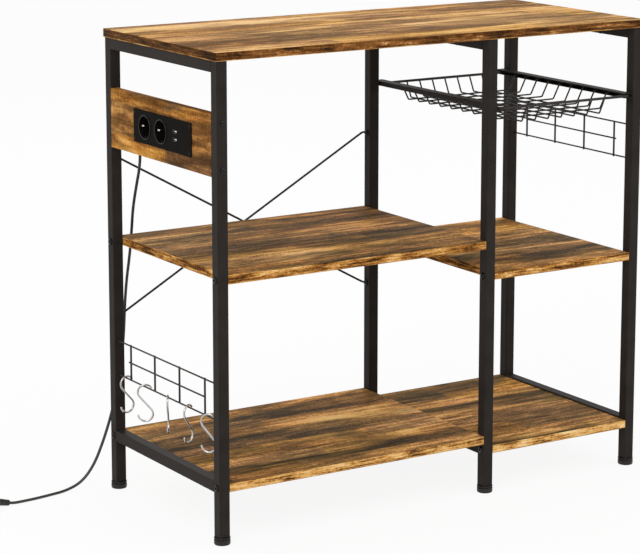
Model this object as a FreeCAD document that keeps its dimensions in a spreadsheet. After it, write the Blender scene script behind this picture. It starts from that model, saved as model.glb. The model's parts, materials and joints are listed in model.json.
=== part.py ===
import FreeCAD, Part
import math
import os
import re
import Sketcher

# A kitchen shelving unit on three steel frames, in millimetres.
# X runs along the unit to the right, Y to its back and Z up. The origin is on the floor, under the
# middle of the top board.

document = FreeCAD.newDocument("kitchen_shelving_unit")

SIZES = (
    # top board and lower boards
    ("top_length", 900),
    ("top_depth", 400),
    ("unit_height", 840),
    ("board_thickness", 15),
    ("end_overhang", 3),
    ("front_overhang", 2),
    ("top_corner_round", 3),
    ("middle_left_top", 465.5),
    ("middle_right_top", 408.5),
    ("bottom_left_top", 107),
    ("bottom_right_top", 88),
    # steel frames
    ("post_side", 20),
    ("post_corner_round", 1.5),
    ("tube_wall", 1.2),
    ("left_bay_width", 528),
    ("left_rail_top", 110),
    ("right_rail_top", 91),
    # feet and the plugs that they screw into
    ("foot_height", 13),
    ("foot_rim_width", 28.4),
    ("foot_body_width", 26),
    ("foot_sole_width", 23),
    ("foot_rim_height", 3.4),
    ("foot_stem_width", 8),
    ("foot_stem_length", 22),
    ("foot_plug_height", 16),
    ("part_gap", 0.3),
    ("running_gap", 0.05),
    # bolts and screws
    ("bolt_width", 6),
    ("bolt_grip", 24),
    ("bolt_head_width", 12),
    ("bolt_head_height", 2.8),
    ("bolt_head_face", 7),
    ("socket_bolt_spacing", 79),
    ("socket_bolt_width", 4),
    ("socket_bolt_head_width", 8.5),
    ("socket_bolt_head_height", 2),
    ("screw_width", 4),
    ("screw_head_width", 7.4),
    ("screw_head_height", 1.8),
    ("top_screw_bite", 10),
    ("post_screw_length", 8),
    # outlet strip in the left frame
    ("socket_board_drop", 89),
    ("socket_board_width", 105),
    ("plate_thickness", 2),
    ("plate_corner_round", 2.5),
    ("plate_offset", 12),
    ("plate_end_lap", 8),
    ("plate_side_lap", 5),
    ("housing_depth", 55),
    ("housing_wall", 2),
    ("cord_height_in_housing", 8.5),
    ("cord_depth_in_housing", 32),
    ("socket_spacing", 57),
    ("socket_end_distance", 41),
    ("socket_side_margin", 7.5),
    ("socket_rim_lap", 0.8),
    ("socket_rim_height", 0.6),
    ("socket_well_width", 39),
    ("socket_well_depth", 17.5),
    ("socket_wall", 1.2),
    ("pin_spacing", 19),
    ("pin_width", 4.8),
    ("pin_length", 19),
    ("pin_hole_width", 5.4),
    ("contact_width", 8),
    ("contact_length", 12),
    ("contact_thickness", 1),
    ("earth_clip_width", 5),
    ("earth_clip_length", 12),
    ("earth_clip_thickness", 1.2),
    ("earth_clip_gap", 0.7),
    ("usb_distance", 50.7),
    ("usb_end_distance", 55.3),
    ("usb_spacing", 13.8),
    ("usb_port_length", 12),
    ("usb_port_width", 4.6),
    ("usb_port_depth", 10),
    ("usb_shell", 0.4),
    ("usb_tongue", 1.8),
    ("usb_circuit_length", 34),
    ("usb_circuit_width", 30),
    ("usb_circuit_thickness", 1.6),
    # mains cord and plug
    ("cord_width", 5.2),
    ("cord_floor_gap", 0.1),
    ("relief_length", 22),
    ("relief_tip_width", 7),
    ("relief_base_width", 11),
    ("plug_width", 37),
    ("plug_rim_length", 17),
    ("plug_shoulder_width", 27),
    ("plug_shoulder_length", 14),
    ("plug_grip_width", 17),
    ("plug_grip_length", 15),
    ("plug_relief_tip_width", 10.6),
    ("plug_relief_base_width", 13),
    # cross brace behind the left bay
    ("brace_width", 4),
    ("brace_bend", 5),
    ("brace_below_shelf", 148.5),
    ("brace_above_shelf", 142.5),
    ("brace_eye_width", 11),
    ("brace_eye_thickness", 2),
    ("brace_eye_setback", 6),
    # wire grids in the end frames
    ("grid_wire", 3),
    ("grid_setback", 6.7),
    ("grid_spacing", 31.3),
    ("grid_upright_end", 2.5),
    ("left_grid_bottom", 214.9),
    ("right_grid_drop", 181.8),
    # hooks on the left grid
    ("hook_height", 70),
    ("hook_width", 30),
    ("hook_wire", 3.5),
    ("hook_tip_drop", 6.6),
    ("hook_tip_rise", 12),
    # rails and basket under the top board of the right bay
    ("channel_drop", 119),
    ("channel_height", 9),
    ("channel_width", 19),
    ("channel_setback", 2),
    ("channel_sheet", 1.2),
    ("basket_side_gap", 1.3),
    ("basket_play", 14),
    ("basket_drop", 27),
    ("basket_setback", 8),
    ("basket_rim_wire", 5),
    ("basket_rim_bend", 12),
    ("basket_wire", 2.4),
    ("basket_shelf", 17),
    ("basket_slope", 14),
)

sheet = document.addObject("Spreadsheet::Sheet", "sizes")
for row, (name, number) in enumerate(SIZES, start=1):
    sheet.set("A%d" % row, name)
    sheet.set("B%d" % row, str(number))
    sheet.setAlias("B%d" % row, name)
document.recompute()
SIZE_NAMES = {name for name, _ in SIZES}

# Places and sizes that follow from the sheet, written as sums of its names.
LEFT = "(end_overhang + post_side / 2 - top_length / 2)"
RIGHT = "(top_length / 2 - end_overhang - post_side / 2)"
MIDDLE = f"({LEFT} + post_side + left_bay_width)"
FRONT = "(front_overhang + post_side / 2 - top_depth / 2)"
BACK = "(top_depth / 2 - front_overhang - post_side / 2)"
RIGHT_BAY_WIDTH = f"({RIGHT} - {MIDDLE} - post_side)"
FRAME_DEPTH = f"({BACK} - {FRONT} + post_side)"
RAIL_LENGTH = f"({BACK} - {FRONT} - post_side)"
TOP_UNDERSIDE = "(unit_height - board_thickness)"
SOCKET_MIDDLE = f"({TOP_UNDERSIDE} - socket_board_drop - socket_board_width / 2)"
FRAMES = (("left", LEFT), ("middle", MIDDLE), ("right", RIGHT))
SIDES = (("front", FRONT), ("rear", BACK))

# A sub-part is kept here under the name of its node.
nodes = {}

ALONG_X = FreeCAD.Vector(1, 0, 0)
ALONG_Y = FreeCAD.Vector(0, 1, 0)
ALONG_Z = FreeCAD.Vector(0, 0, 1)


def tied(text):
    """An expression for another object, from one written in the sheet's own names."""
    return re.sub(r"[a-z_]+", lambda found: sheet_name(found.group()), text)


def sheet_name(word):
    return "sizes." + word if word in SIZE_NAMES else word


def size(text):
    """The number that an expression in the sheet's names stands for now."""
    return float(sheet.evalExpression(text))


def bind(item, prop, text):
    item.setExpression(prop, tied(text))


def place(item, x, y, z, axis=None, angle=0):
    turn = FreeCAD.Rotation(FreeCAD.Vector(*axis), angle) if axis else FreeCAD.Rotation()
    item.Placement = FreeCAD.Placement(FreeCAD.Vector(), turn)
    for letter, text in (("x", x), ("y", y), ("z", z)):
        bind(item, "Placement.Base." + letter, text)


def new_body(name, x="0", y="0", z="0", axis=None, angle=0):
    body = document.addObject("PartDesign::Body", name)
    body.Label = name
    body.AllowCompound = True
    place(body, x, y, z, axis, angle)
    return body


def keep(item, name):
    item.Label = name
    nodes[name] = item
    return item


def origin_feature(body, role):
    return next(item for item in body.Origin.OriginFeatures if item.Role == role)


def new_sketch(body, plane, name, offset=None):
    sketch = body.newObject("Sketcher::SketchObject", name)
    sketch.AttachmentSupport = [(origin_feature(body, plane), "")]
    sketch.MapMode = "FlatFace"
    if offset:
        bind(sketch, "AttachmentOffset.Base.z", offset)
    return sketch


def constrain(sketch, kind, *references, text):
    number = sketch.addConstraint(Sketcher.Constraint(kind, *references, size(text)))
    sketch.renameConstraint(number, "size_%d" % number)
    bind(sketch, "Constraints.size_%d" % number, text)


def fix_point(sketch, item, end, x, y):
    """Ties a point of the sketch to a place, on the sketch's own axis where the place is zero."""
    for kind, axis, text in (("DistanceX", -2, x), ("DistanceY", -1, y)):
        if text == "0":
            sketch.addConstraint(Sketcher.Constraint("PointOnObject", item, end, axis))
        else:
            constrain(sketch, kind, -1, 1, item, end, text=text)


def straight_lines(sketch, places, closed=True):
    """Draws lines through places given as pairs of expressions."""
    corners = [FreeCAD.Vector(size(x), size(y), 0) for x, y in places]
    ends = list(zip(corners, corners[1:] + corners[:1]))
    if not closed:
        ends = ends[:-1]
    lines = [sketch.addGeometry(Part.LineSegment(first, last), False) for first, last in ends]
    for line, following in zip(lines, lines[1:]):
        sketch.addConstraint(Sketcher.Constraint("Coincident", line, 2, following, 1))
    if closed:
        sketch.addConstraint(Sketcher.Constraint("Coincident", lines[-1], 2, lines[0], 1))
    for line, (x, y) in zip(lines, places):
        fix_point(sketch, line, 1, x, y)
    if not closed:
        fix_point(sketch, lines[-1], 2, *places[-1])
    return lines


def rectangle(sketch, width, height, x="0", y="0"):
    left, right = f"{x} - {width} / 2", f"{x} + {width} / 2"
    low, high = f"{y} - {height} / 2", f"{y} + {height} / 2"
    straight_lines(sketch, ((left, low), (right, low), (right, high), (left, high)))


def circle(sketch, x, y, radius):
    centre = FreeCAD.Vector(size(x), size(y), 0)
    item = sketch.addGeometry(Part.Circle(centre, FreeCAD.Vector(0, 0, 1), size(radius)), False)
    fix_point(sketch, item, 3, x, y)
    constrain(sketch, "Radius", item, text=radius)


def pad(body, sketch, length, both_ways=False):
    feature = body.newObject("PartDesign::Pad", "pad")
    feature.Profile = sketch
    if both_ways:
        feature.SideType = "Symmetric"
    bind(feature, "Length", length)
    return feature


def pocket(body, sketch, depth=None, reverse=False):
    """Cuts a sketch into the body, right through to both sides where no depth is given."""
    document.recompute()
    before = body.Shape.Volume
    feature = body.newObject("PartDesign::Pocket", "pocket")
    feature.Profile = sketch
    if depth:
        feature.Reversed = reverse
        bind(feature, "Length", depth)
    else:
        feature.Type = "ThroughAll"
        feature.SideType = "Symmetric"
    document.recompute()
    if not body.Shape.Volume < before:
        raise RuntimeError(body.Label + ": a pocket cuts nothing")
    return feature


def revolve(body, places):
    """Turns an outline, given as pairs of radius and height, once round the body's Z axis."""
    outline = new_sketch(body, "XZ_Plane", "outline")
    straight_lines(outline, places)
    feature = body.newObject("PartDesign::Revolution", "revolution")
    feature.Profile = outline
    feature.ReferenceAxis = (outline, ["V_Axis"])
    feature.Angle = 360
    return feature


def round_edges_along(body, axis, radius):
    """Rounds the edges of a pad that run along an axis at the corners of its outline."""
    document.recompute()
    base = body.Tip
    box = base.Shape.BoundBox
    corners = [
        FreeCAD.Vector(x, y, z)
        for x in (box.XMin, box.XMax) for y in (box.YMin, box.YMax) for z in (box.ZMin, box.ZMax)
    ]
    picked = []
    for number, edge in enumerate(base.Shape.Edges, start=1):
        start, end = edge.Vertexes[0].Point, edge.Vertexes[-1].Point
        runs_along = abs((end - start) * axis) > edge.Length / 2
        if runs_along and any((start - corner).cross(axis).Length < size(radius) for corner in corners):
            picked.append("Edge%d" % number)
    fillet = body.newObject("PartDesign::Fillet", "rounded_corners")
    fillet.Base = (base, picked)
    bind(fillet, "Radius", radius)
    return fillet


def wire_along(body, path, width, corner="Right corner"):
    """A round wire swept along a sketch from the start of its first line."""
    document.recompute()
    section = body.newObject("Sketcher::SketchObject", "section")
    section.AttachmentSupport = [(path, "Edge1")]
    section.MapMode = "NormalToEdge"
    circle(section, "0", "0", f"{width} / 2")
    feature = body.newObject("PartDesign::AdditivePipe", "wire")
    feature.Profile = section
    feature.Spine = path
    feature.Transition = corner
    document.recompute()
    return feature


def repeat(body, feature, axis, span, count):
    pattern = body.newObject("PartDesign::LinearPattern", "pattern")
    pattern.Originals = [feature]
    pattern.Direction = (origin_feature(body, axis), [""])
    bind(pattern, "Length", span)
    pattern.Occurrences = count
    body.Tip = pattern
    return pattern


# Turns that bring +Z to each direction that a bolt's head may face.
HEAD_TURNS = {
    "-X": ((0, 1, 0), -90),
    "+X": ((0, 1, 0), 90),
    "-Y": ((1, 0, 0), 90),
    "+Y": ((1, 0, 0), -90),
    "+Z": (None, 0),
    "-Z": ((1, 0, 0), 180),
}


def copies(name, pattern, places):
    """One node of equal pieces, each given as x, y, z and the direction that its top faces."""
    links = []
    for number, (x, y, z, facing) in enumerate(places, start=1):
        link = document.addObject("App::Link", "%s_%d" % (name, number))
        link.LinkedObject = pattern
        axis, angle = HEAD_TURNS[facing]
        place(link, x, y, z, axis, angle)
        links.append(link)
    group = document.addObject("Part::Compound", name)
    group.Links = links
    return keep(group, name)


def bolt(name, head_width, head_height, head_face, width, length):
    """A domed head above the origin and a plain shank below it."""
    body = new_body(name)
    revolve(body, (
        ("0", f"-{length}"),
        (f"{width} / 2", f"-{length}"),
        (f"{width} / 2", "0"),
        (f"{head_width} / 2", "0"),
        (f"{head_face} / 2", head_height),
        ("0", head_height),
    ))
    return body


# Heights of the boards, and of the bolts that pass through the posts into the middle of their ends.
SHELVES = (
    ("middle_shelf_left", "left", "middle_left_top"),
    ("bottom_shelf_left", "left", "bottom_left_top"),
    ("middle_shelf_right", "right", "middle_right_top"),
    ("bottom_shelf_right", "right", "bottom_right_top"),
)
BAYS = {
    "left": (f"({LEFT} + {MIDDLE}) / 2", "left_bay_width", ("left", "middle")),
    "right": (f"({MIDDLE} + {RIGHT}) / 2", RIGHT_BAY_WIDTH, ("middle", "right")),
}
SOCKET_BOLTS = (
    f"({SOCKET_MIDDLE} - socket_bolt_spacing / 2)",
    f"({SOCKET_MIDDLE} + socket_bolt_spacing / 2)",
)
TOP_SCREWS = (f"(-{RAIL_LENGTH} / 4)", f"({RAIL_LENGTH} / 4)")
CHANNEL_MIDDLE = f"({TOP_UNDERSIDE} - channel_drop - channel_height / 2)"
BRACE_LOW = "(middle_left_top - brace_below_shelf)"
BRACE_HIGH = "(middle_left_top + brace_above_shelf)"
# The eye of a brace rod lies a little behind the middle of the rear post's side.
BRACE_EYE_FROM_POST = "(post_side / 2 - brace_eye_setback - front_overhang)"


def bolt_height(top):
    return f"({top} - board_thickness / 2)"


def square_tube(body, plane, length, both_ways):
    outline = new_sketch(body, plane, "walls")
    rectangle(outline, "post_side", "post_side")
    rectangle(outline, "(post_side - 2 * tube_wall)", "(post_side - 2 * tube_wall)")
    return pad(body, outline, length, both_ways)


def drill(body, plane, places, width, depth=None, offset=None, reverse=False):
    """Round holes square to one of the body's planes."""
    sketch = new_sketch(body, plane, "holes", offset)
    for x, y in places:
        circle(sketch, x, y, f"{width} / 2")
    return pocket(body, sketch, depth, reverse)


def posts():
    for frame, x in FRAMES:
        heights = [bolt_height(top) for _, bay, top in SHELVES if frame in BAYS[bay][2]]
        for side, y in SIDES:
            name = f"post_{side}_{frame}"
            body = new_body(name, x, y, "foot_height")
            square_tube(body, "XY_Plane", f"({TOP_UNDERSIDE} - foot_height)", False)
            round_edges_along(body, ALONG_Z, "post_corner_round")
            holes = [("0", f"{height} - foot_height") for height in heights]
            drill(body, "YZ_Plane", holes, "bolt_width")
            if frame == "left":
                holes = [("0", f"{height} - foot_height") for height in SOCKET_BOLTS]
                drill(body, "XZ_Plane", holes, "socket_bolt_width")
            if frame != "left":
                inner_screws(body, frame, [("0", f"{CHANNEL_MIDDLE} - foot_height")])
            if side == "rear" and frame != "right":
                places = [
                    (BRACE_EYE_FROM_POST, f"{height} - foot_height") for height in (BRACE_LOW, BRACE_HIGH)
                ]
                inner_screws(body, "right" if frame == "middle" else "middle", places)
            keep(body, name)


def inner_screws(body, frame, places):
    """Screw holes in one side wall only: the left wall for the right frame, else the right wall."""
    left_wall = frame == "right"
    offset = "-post_side / 2" if left_wall else "post_side / 2"
    drill(body, "YZ_Plane", places, "screw_width", "tube_wall", offset, left_wall)


def rails():
    bottoms = {"left": "left_rail_top", "middle": "right_rail_top", "right": "right_rail_top"}
    for frame, x in FRAMES:
        name = f"bottom_rail_{frame}"
        body = new_body(name, x, "0", f"{bottoms[frame]} - post_side / 2")
        square_tube(body, "XZ_Plane", RAIL_LENGTH, True)
        round_edges_along(body, ALONG_Y, "post_corner_round")
        keep(body, name)
        name = f"top_rail_{frame}"
        body = new_body(name, x, "0", f"{TOP_UNDERSIDE} - post_side / 2")
        square_tube(body, "XZ_Plane", RAIL_LENGTH, True)
        round_edges_along(body, ALONG_Y, "post_corner_round")
        drill(body, "XY_Plane", [("0", y) for y in TOP_SCREWS], "screw_width")
        keep(body, name)


def boards():
    body = new_body("top_board", "0", "0", TOP_UNDERSIDE)
    outline = new_sketch(body, "XY_Plane", "outline")
    rectangle(outline, "top_length", "top_depth")
    pad(body, outline, "board_thickness")
    round_edges_along(body, ALONG_Z, "top_corner_round")
    places = [(x, y) for _, x in FRAMES for y in TOP_SCREWS]
    drill(body, "XY_Plane", places, "screw_width", "top_screw_bite", reverse=True)
    keep(body, "top_board")
    for name, bay, top in SHELVES:
        x, width, _ = BAYS[bay]
        body = new_body(name, x, "0", f"{top} - board_thickness")
        outline = new_sketch(body, "XY_Plane", "outline")
        rectangle(outline, width, FRAME_DEPTH)
        pad(body, outline, "board_thickness")
        holes = [(y, "board_thickness / 2") for _, y in SIDES]
        drill(body, "YZ_Plane", holes, "bolt_width", "bolt_grip", f"{width} / 2")
        drill(body, "YZ_Plane", holes, "bolt_width", "bolt_grip", f"-{width} / 2", True)
        keep(body, name)


def shelf_bolts():
    pattern = bolt(
        "shelf_bolt_pattern", "bolt_head_width", "bolt_head_height", "bolt_head_face",
        "bolt_width", "(post_side + bolt_grip)",
    )
    places = []
    for _, bay, top in SHELVES:
        near, far = [dict(FRAMES)[frame] for frame in BAYS[bay][2]]
        for _, y in SIDES:
            places.append((f"{near} - post_side / 2", y, bolt_height(top), "-X"))
            places.append((f"{far} + post_side / 2", y, bolt_height(top), "+X"))
    copies("shelf_bolts", pattern, places)


def top_board_screws():
    length = "(post_side + top_screw_bite)"
    pattern = bolt(
        "top_screw_pattern", "screw_head_width", "screw_head_height", "screw_width", "screw_width", length,
    )
    underside = f"{TOP_UNDERSIDE} - post_side"
    places = [(x, y, underside, "-Z") for _, x in FRAMES for y in TOP_SCREWS]
    copies("top_board_screws", pattern, places)


def feet():
    """Levelling feet: a stepped disc and a stem that turns in the plug in the end of its post."""
    rim_top = "(foot_height - part_gap)"
    rim_bottom = f"({rim_top} - foot_rim_height)"
    for side, y in SIDES:
        for frame, x in FRAMES:
            name = f"foot_{side}_{frame}"
            body = new_body(name, x, y)
            revolve(body, (
                ("0", "0"),
                ("foot_sole_width / 2", "0"),
                ("foot_body_width / 2", rim_bottom),
                ("foot_rim_width / 2", rim_bottom),
                ("foot_rim_width / 2", rim_top),
                ("foot_stem_width / 2", rim_top),
                ("foot_stem_width / 2", "foot_stem_length"),
                ("0", "foot_stem_length"),
            ))
            keep(body, name)
    plug = new_body("foot_plug_pattern")
    outline = new_sketch(plug, "XY_Plane", "outline")
    rectangle(outline, "(post_side - 2 * tube_wall)", "(post_side - 2 * tube_wall)")
    circle(outline, "0", "0", "(foot_stem_width / 2 + running_gap)")
    pad(plug, outline, "foot_plug_height")
    copies("foot_plugs", plug, [(x, y, "foot_height", "+Z") for _, y in SIDES for _, x in FRAMES])


# The outlet strip. Its plate lies on the outer face of the socket board, a little forward of the middle.
OUTER_FACE = f"({LEFT} - post_side / 2)"
CUP_WIDTH = "(socket_well_width + 2 * socket_wall)"
RIM_WIDTH = f"({CUP_WIDTH} + 2 * socket_rim_lap)"
PLATE_LENGTH = "(socket_end_distance + socket_spacing + usb_distance + usb_end_distance)"
PLATE_WIDTH = f"({RIM_WIDTH} + 2 * socket_side_margin)"
HOUSING_LENGTH = f"({PLATE_LENGTH} - 2 * plate_end_lap)"
HOUSING_WIDTH = f"({PLATE_WIDTH} - 2 * plate_side_lap)"
SOCKETS = (
    f"({PLATE_LENGTH} / 2 - plate_offset - socket_end_distance)",
    f"({PLATE_LENGTH} / 2 - plate_offset - socket_end_distance - socket_spacing)",
)
USB_MIDDLE = f"({SOCKETS[1]} - usb_distance)"
USB_HEIGHTS = ("(-usb_spacing / 2)", "(usb_spacing / 2)")
CORD_EXIT = (f"{OUTER_FACE} + cord_depth_in_housing", f"{HOUSING_LENGTH} / 2 - plate_offset")
CORD_EXIT_HEIGHT = f"({SOCKET_MIDDLE} - {HOUSING_WIDTH} / 2 + cord_height_in_housing)"
USB_LENGTH = "(usb_port_length + 2 * usb_shell)"
USB_WIDTH = "(usb_port_width + 2 * usb_shell)"


def socket_board():
    body = new_body("socket_board", OUTER_FACE, z=SOCKET_MIDDLE)
    outline = new_sketch(body, "YZ_Plane", "outline")
    rectangle(outline, RAIL_LENGTH, "socket_board_width")
    rectangle(outline, HOUSING_LENGTH, HOUSING_WIDTH, "-plate_offset")
    pad(body, outline, "board_thickness")
    holes = [("post_side / 2", f"{height} - {SOCKET_MIDDLE}") for height in SOCKET_BOLTS]
    drill(body, "XZ_Plane", holes, "socket_bolt_width", "bolt_grip", f"{RAIL_LENGTH} / 2")
    drill(body, "XZ_Plane", holes, "socket_bolt_width", "bolt_grip", f"-{RAIL_LENGTH} / 2", True)
    keep(body, "socket_board")
    pattern = bolt(
        "socket_bolt_pattern", "socket_bolt_head_width", "socket_bolt_head_height", "socket_bolt_width",
        "socket_bolt_width", "(post_side + bolt_grip)",
    )
    places = []
    for height in SOCKET_BOLTS:
        places.append((LEFT, f"{FRONT} - post_side / 2", height, "-Y"))
        places.append((LEFT, f"{BACK} + post_side / 2", height, "+Y"))
    copies("socket_board_bolts", pattern, places)


def outlet_plate():
    body = new_body("outlet_faceplate", f"{OUTER_FACE} - plate_thickness", z=SOCKET_MIDDLE)
    outline = new_sketch(body, "YZ_Plane", "outline")
    rectangle(outline, PLATE_LENGTH, PLATE_WIDTH, "-plate_offset")
    for y in SOCKETS:
        circle(outline, y, "0", f"{CUP_WIDTH} / 2")
    for z in USB_HEIGHTS:
        rectangle(outline, USB_LENGTH, USB_WIDTH, USB_MIDDLE, z)
    pad(body, outline, "plate_thickness")
    round_edges_along(body, ALONG_X, "plate_corner_round")
    keep(body, "outlet_faceplate")


def outlet_housing():
    """A box open towards the plate, let through the socket board, with the cord's hole at its rear."""
    body = new_body("outlet_housing", OUTER_FACE, z=SOCKET_MIDDLE)
    outline = new_sketch(body, "YZ_Plane", "outline")
    rectangle(outline, HOUSING_LENGTH, HOUSING_WIDTH, "-plate_offset")
    pad(body, outline, "housing_depth")
    inside = new_sketch(body, "YZ_Plane", "inside")
    inner = f"({HOUSING_LENGTH} - 2 * housing_wall)", f"({HOUSING_WIDTH} - 2 * housing_wall)"
    rectangle(inside, *inner, "-plate_offset")
    pocket(body, inside, "(housing_depth - housing_wall)", True)
    end = f"({HOUSING_LENGTH} / 2 - plate_offset)"
    exit_place = [("cord_depth_in_housing", f"{CORD_EXIT_HEIGHT} - {SOCKET_MIDDLE}")]
    drill(body, "XZ_Plane", exit_place, "cord_width", "housing_wall", f"-{end}", True)
    keep(body, "outlet_housing")


def socket_inserts():
    """Round cups with two pin holes in the floor, each with a rim on the plate."""
    for number, y in enumerate(SOCKETS, start=1):
        name = "socket_insert_%d" % number
        body = new_body(name, f"{OUTER_FACE} - plate_thickness", y, SOCKET_MIDDLE, (0, 1, 0), -90)
        inner = "(socket_well_width / 2)"
        outer = f"({CUP_WIDTH} / 2)"
        floor = "(socket_rim_height - socket_well_depth)"
        revolve(body, (
            ("0", f"{floor} - socket_wall"),
            (outer, f"{floor} - socket_wall"),
            (outer, "0"),
            (f"{RIM_WIDTH} / 2", "0"),
            (f"{RIM_WIDTH} / 2", "socket_rim_height"),
            (inner, "socket_rim_height"),
            (inner, floor),
            ("0", floor),
        ))
        holes = [("-pin_spacing / 2", "0"), ("pin_spacing / 2", "0")]
        drill(body, "XY_Plane", holes, "pin_hole_width")
        keep(body, name)


def strip(name, length, width, height, x="0", y="0", z="0"):
    """A plain strip of sheet metal or circuit board, its origin in the middle of the face at low X."""
    body = new_body(name, x, y, z)
    outline = new_sketch(body, "YZ_Plane", "outline")
    rectangle(outline, width, height)
    pad(body, outline, length)
    return body


def socket_metal():
    """Contact springs behind the pin holes, and the earth clips at the two sides of each well."""
    well_floor = f"({OUTER_FACE} - plate_thickness - socket_rim_height + socket_well_depth)"
    spring = new_body("contact_pattern")
    outline = new_sketch(spring, "YZ_Plane", "outline")
    rectangle(outline, "contact_width", "contact_width")
    rectangle(outline, "(contact_width - 2 * contact_thickness)", "(contact_width - 2 * contact_thickness)")
    pad(spring, outline, "contact_length")
    behind = f"{well_floor} + socket_wall"
    places = []
    for y in SOCKETS:
        for turn in ("-", "+"):
            places.append((behind, y, f"{SOCKET_MIDDLE} {turn} pin_spacing / 2", "+Z"))
    copies("socket_contacts", spring, places)
    clip = strip("earth_clip_pattern", "earth_clip_length", "earth_clip_thickness", "earth_clip_width")
    reach = "(socket_well_width / 2 - earth_clip_gap - earth_clip_thickness / 2)"
    places = []
    for y in SOCKETS:
        for turn in ("-", "+"):
            places.append((f"{well_floor} - earth_clip_length", f"{y} {turn} {reach}", SOCKET_MIDDLE, "+Z"))
    copies("earth_clips", clip, places)


def usb_ports():
    """Two ports, each a sheet-metal shell round a tongue, on one small circuit board."""
    front = f"({OUTER_FACE} - plate_thickness)"
    shell = new_body("usb_shell_pattern")
    outline = new_sketch(shell, "YZ_Plane", "outline")
    rectangle(outline, USB_LENGTH, USB_WIDTH)
    rectangle(outline, "usb_port_length", "usb_port_width")
    pad(shell, outline, "usb_port_depth")
    places = [(front, USB_MIDDLE, f"{SOCKET_MIDDLE} + {z}", "+Z") for z in USB_HEIGHTS]
    copies("usb_shells", shell, places)
    tongue = strip(
        "usb_tongue_pattern", "(usb_port_depth - usb_tongue)", "(usb_port_length - 2 * usb_tongue)",
        "usb_tongue",
    )
    places = [(f"{x} + usb_tongue", y, z, facing) for x, y, z, facing in places]
    copies("usb_tongues", tongue, places)
    board = strip(
        "usb_circuit_board", "usb_circuit_thickness", "usb_circuit_width", "usb_circuit_length",
        f"{front} + usb_port_depth", USB_MIDDLE, SOCKET_MIDDLE,
    )
    keep(board, "usb_circuit_board")


# The cord's route, in real sizes: out of the housing, forward of the outer brace rod, down behind the
# middle shelf and the left post, and along the floor to the plug.
FLOOR_LINE = size("cord_width / 2 + cord_floor_gap")
PLUG_RIM_START = "(relief_length + plug_grip_length + plug_shoulder_length)"
PLUG_LENGTH = f"({PLUG_RIM_START} + plug_rim_length)"
# The plug lies on its rim and on the end of its strain relief, which tilts it.
PLUG_TILT = math.atan(size("(plug_width - plug_relief_tip_width) / 2") / size(PLUG_RIM_START))
TAIL_HEIGHT = size("cord_floor_gap") + size("plug_relief_tip_width / 2") * math.cos(PLUG_TILT)
CORD_ROUTE = (
    (-415, 104, 668),
    (-415, 118, 668),
    (-414.5, 131.5, 662.5),
    (-412.5, 142.5, 649.5),
    (-409, 151.5, 628),
    (-403.5, 164, 594),
    (-400.5, 181, 554),
    (-396.5, 197, 511),
    (-394.5, 207, 466),
    (-397.5, 209.5, 424),
    (-403.5, 211.5, 380),
    (-407.5, 212.5, 332),
    (-410.5, 211.5, 282),
    (-417, 210, 232),
    (-427, 209, 182),
    (-441, 208, 131),
    (-457.5, 208, 86),
    (-476, 210, 43),
    (-500, 213, 13.5),
    (-532, 212.5, FLOOR_LINE),
    (-568, 205, FLOOR_LINE),
    (-601, 199.5, FLOOR_LINE),
    (-626, 197.8, FLOOR_LINE),
    (-644.25, 196.9, FLOOR_LINE),
    (-654, 196.1, TAIL_HEIGHT),
)


def bent_path(points, radii):
    """Straight runs joined by arcs that are tangent to both."""
    edges = []
    start = points[0]
    for before, corner, after, radius in zip(points, points[1:], points[2:], radii):
        arriving = (corner - before).normalize()
        leaving = (after - corner).normalize()
        turn = arriving.getAngle(leaving)
        reach = radius * math.tan(turn / 2)
        first = corner - arriving * reach
        last = corner + leaving * reach
        inward = (leaving - arriving).normalize()
        middle = corner + inward * (radius / math.cos(turn / 2) - radius)
        edges.append(Part.LineSegment(start, first).toShape())
        edges.append(Part.Arc(first, middle, last).toShape())
        start = last
    edges.append(Part.LineSegment(start, points[-1]).toShape())
    return Part.Wire(edges)


def round_tube(path, width):
    start = path.Edges[0]
    direction = start.tangentAt(start.FirstParameter)
    section = Part.Wire([Part.makeCircle(width / 2, start.valueAt(start.FirstParameter), direction)])
    solid = path.makePipeShell([section], True, False)
    expected = math.pi * width ** 2 / 4 * path.Length
    if abs(solid.Volume / expected - 1) > 0.01:
        raise RuntimeError("a tube's volume is not its section times its length")
    return solid


def shape_node(name, shape):
    item = document.addObject("Part::Feature", name)
    item.Shape = shape
    item.Placement = FreeCAD.Placement()
    return keep(item, name)


def cord():
    points = [FreeCAD.Vector(*place) for place in CORD_ROUTE]
    radii = []
    for before, corner, after in zip(points, points[1:], points[2:]):
        turn = (corner - before).getAngle(after - corner)
        run = min((corner - before).Length, (after - corner).Length)
        radii.append(0.45 * run / math.tan(turn / 2))
    print("cord bend radii in mm:", [round(radius) for radius in radii])
    path = bent_path(points, radii)
    print("cord length in mm:", round(path.Length))
    shape_node("mains_cord", round_tube(path, size("cord_width")))

    relief = new_body("cord_strain_relief", *CORD_EXIT, CORD_EXIT_HEIGHT, (1, 0, 0), -90)
    revolve(relief, (
        ("0", "0"),
        ("relief_base_width / 2", "0"),
        ("relief_tip_width / 2", "relief_length"),
        ("0", "relief_length"),
    ))
    keep(relief, "cord_strain_relief")
    plug(points[-1], points[-1] - points[-2])


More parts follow.
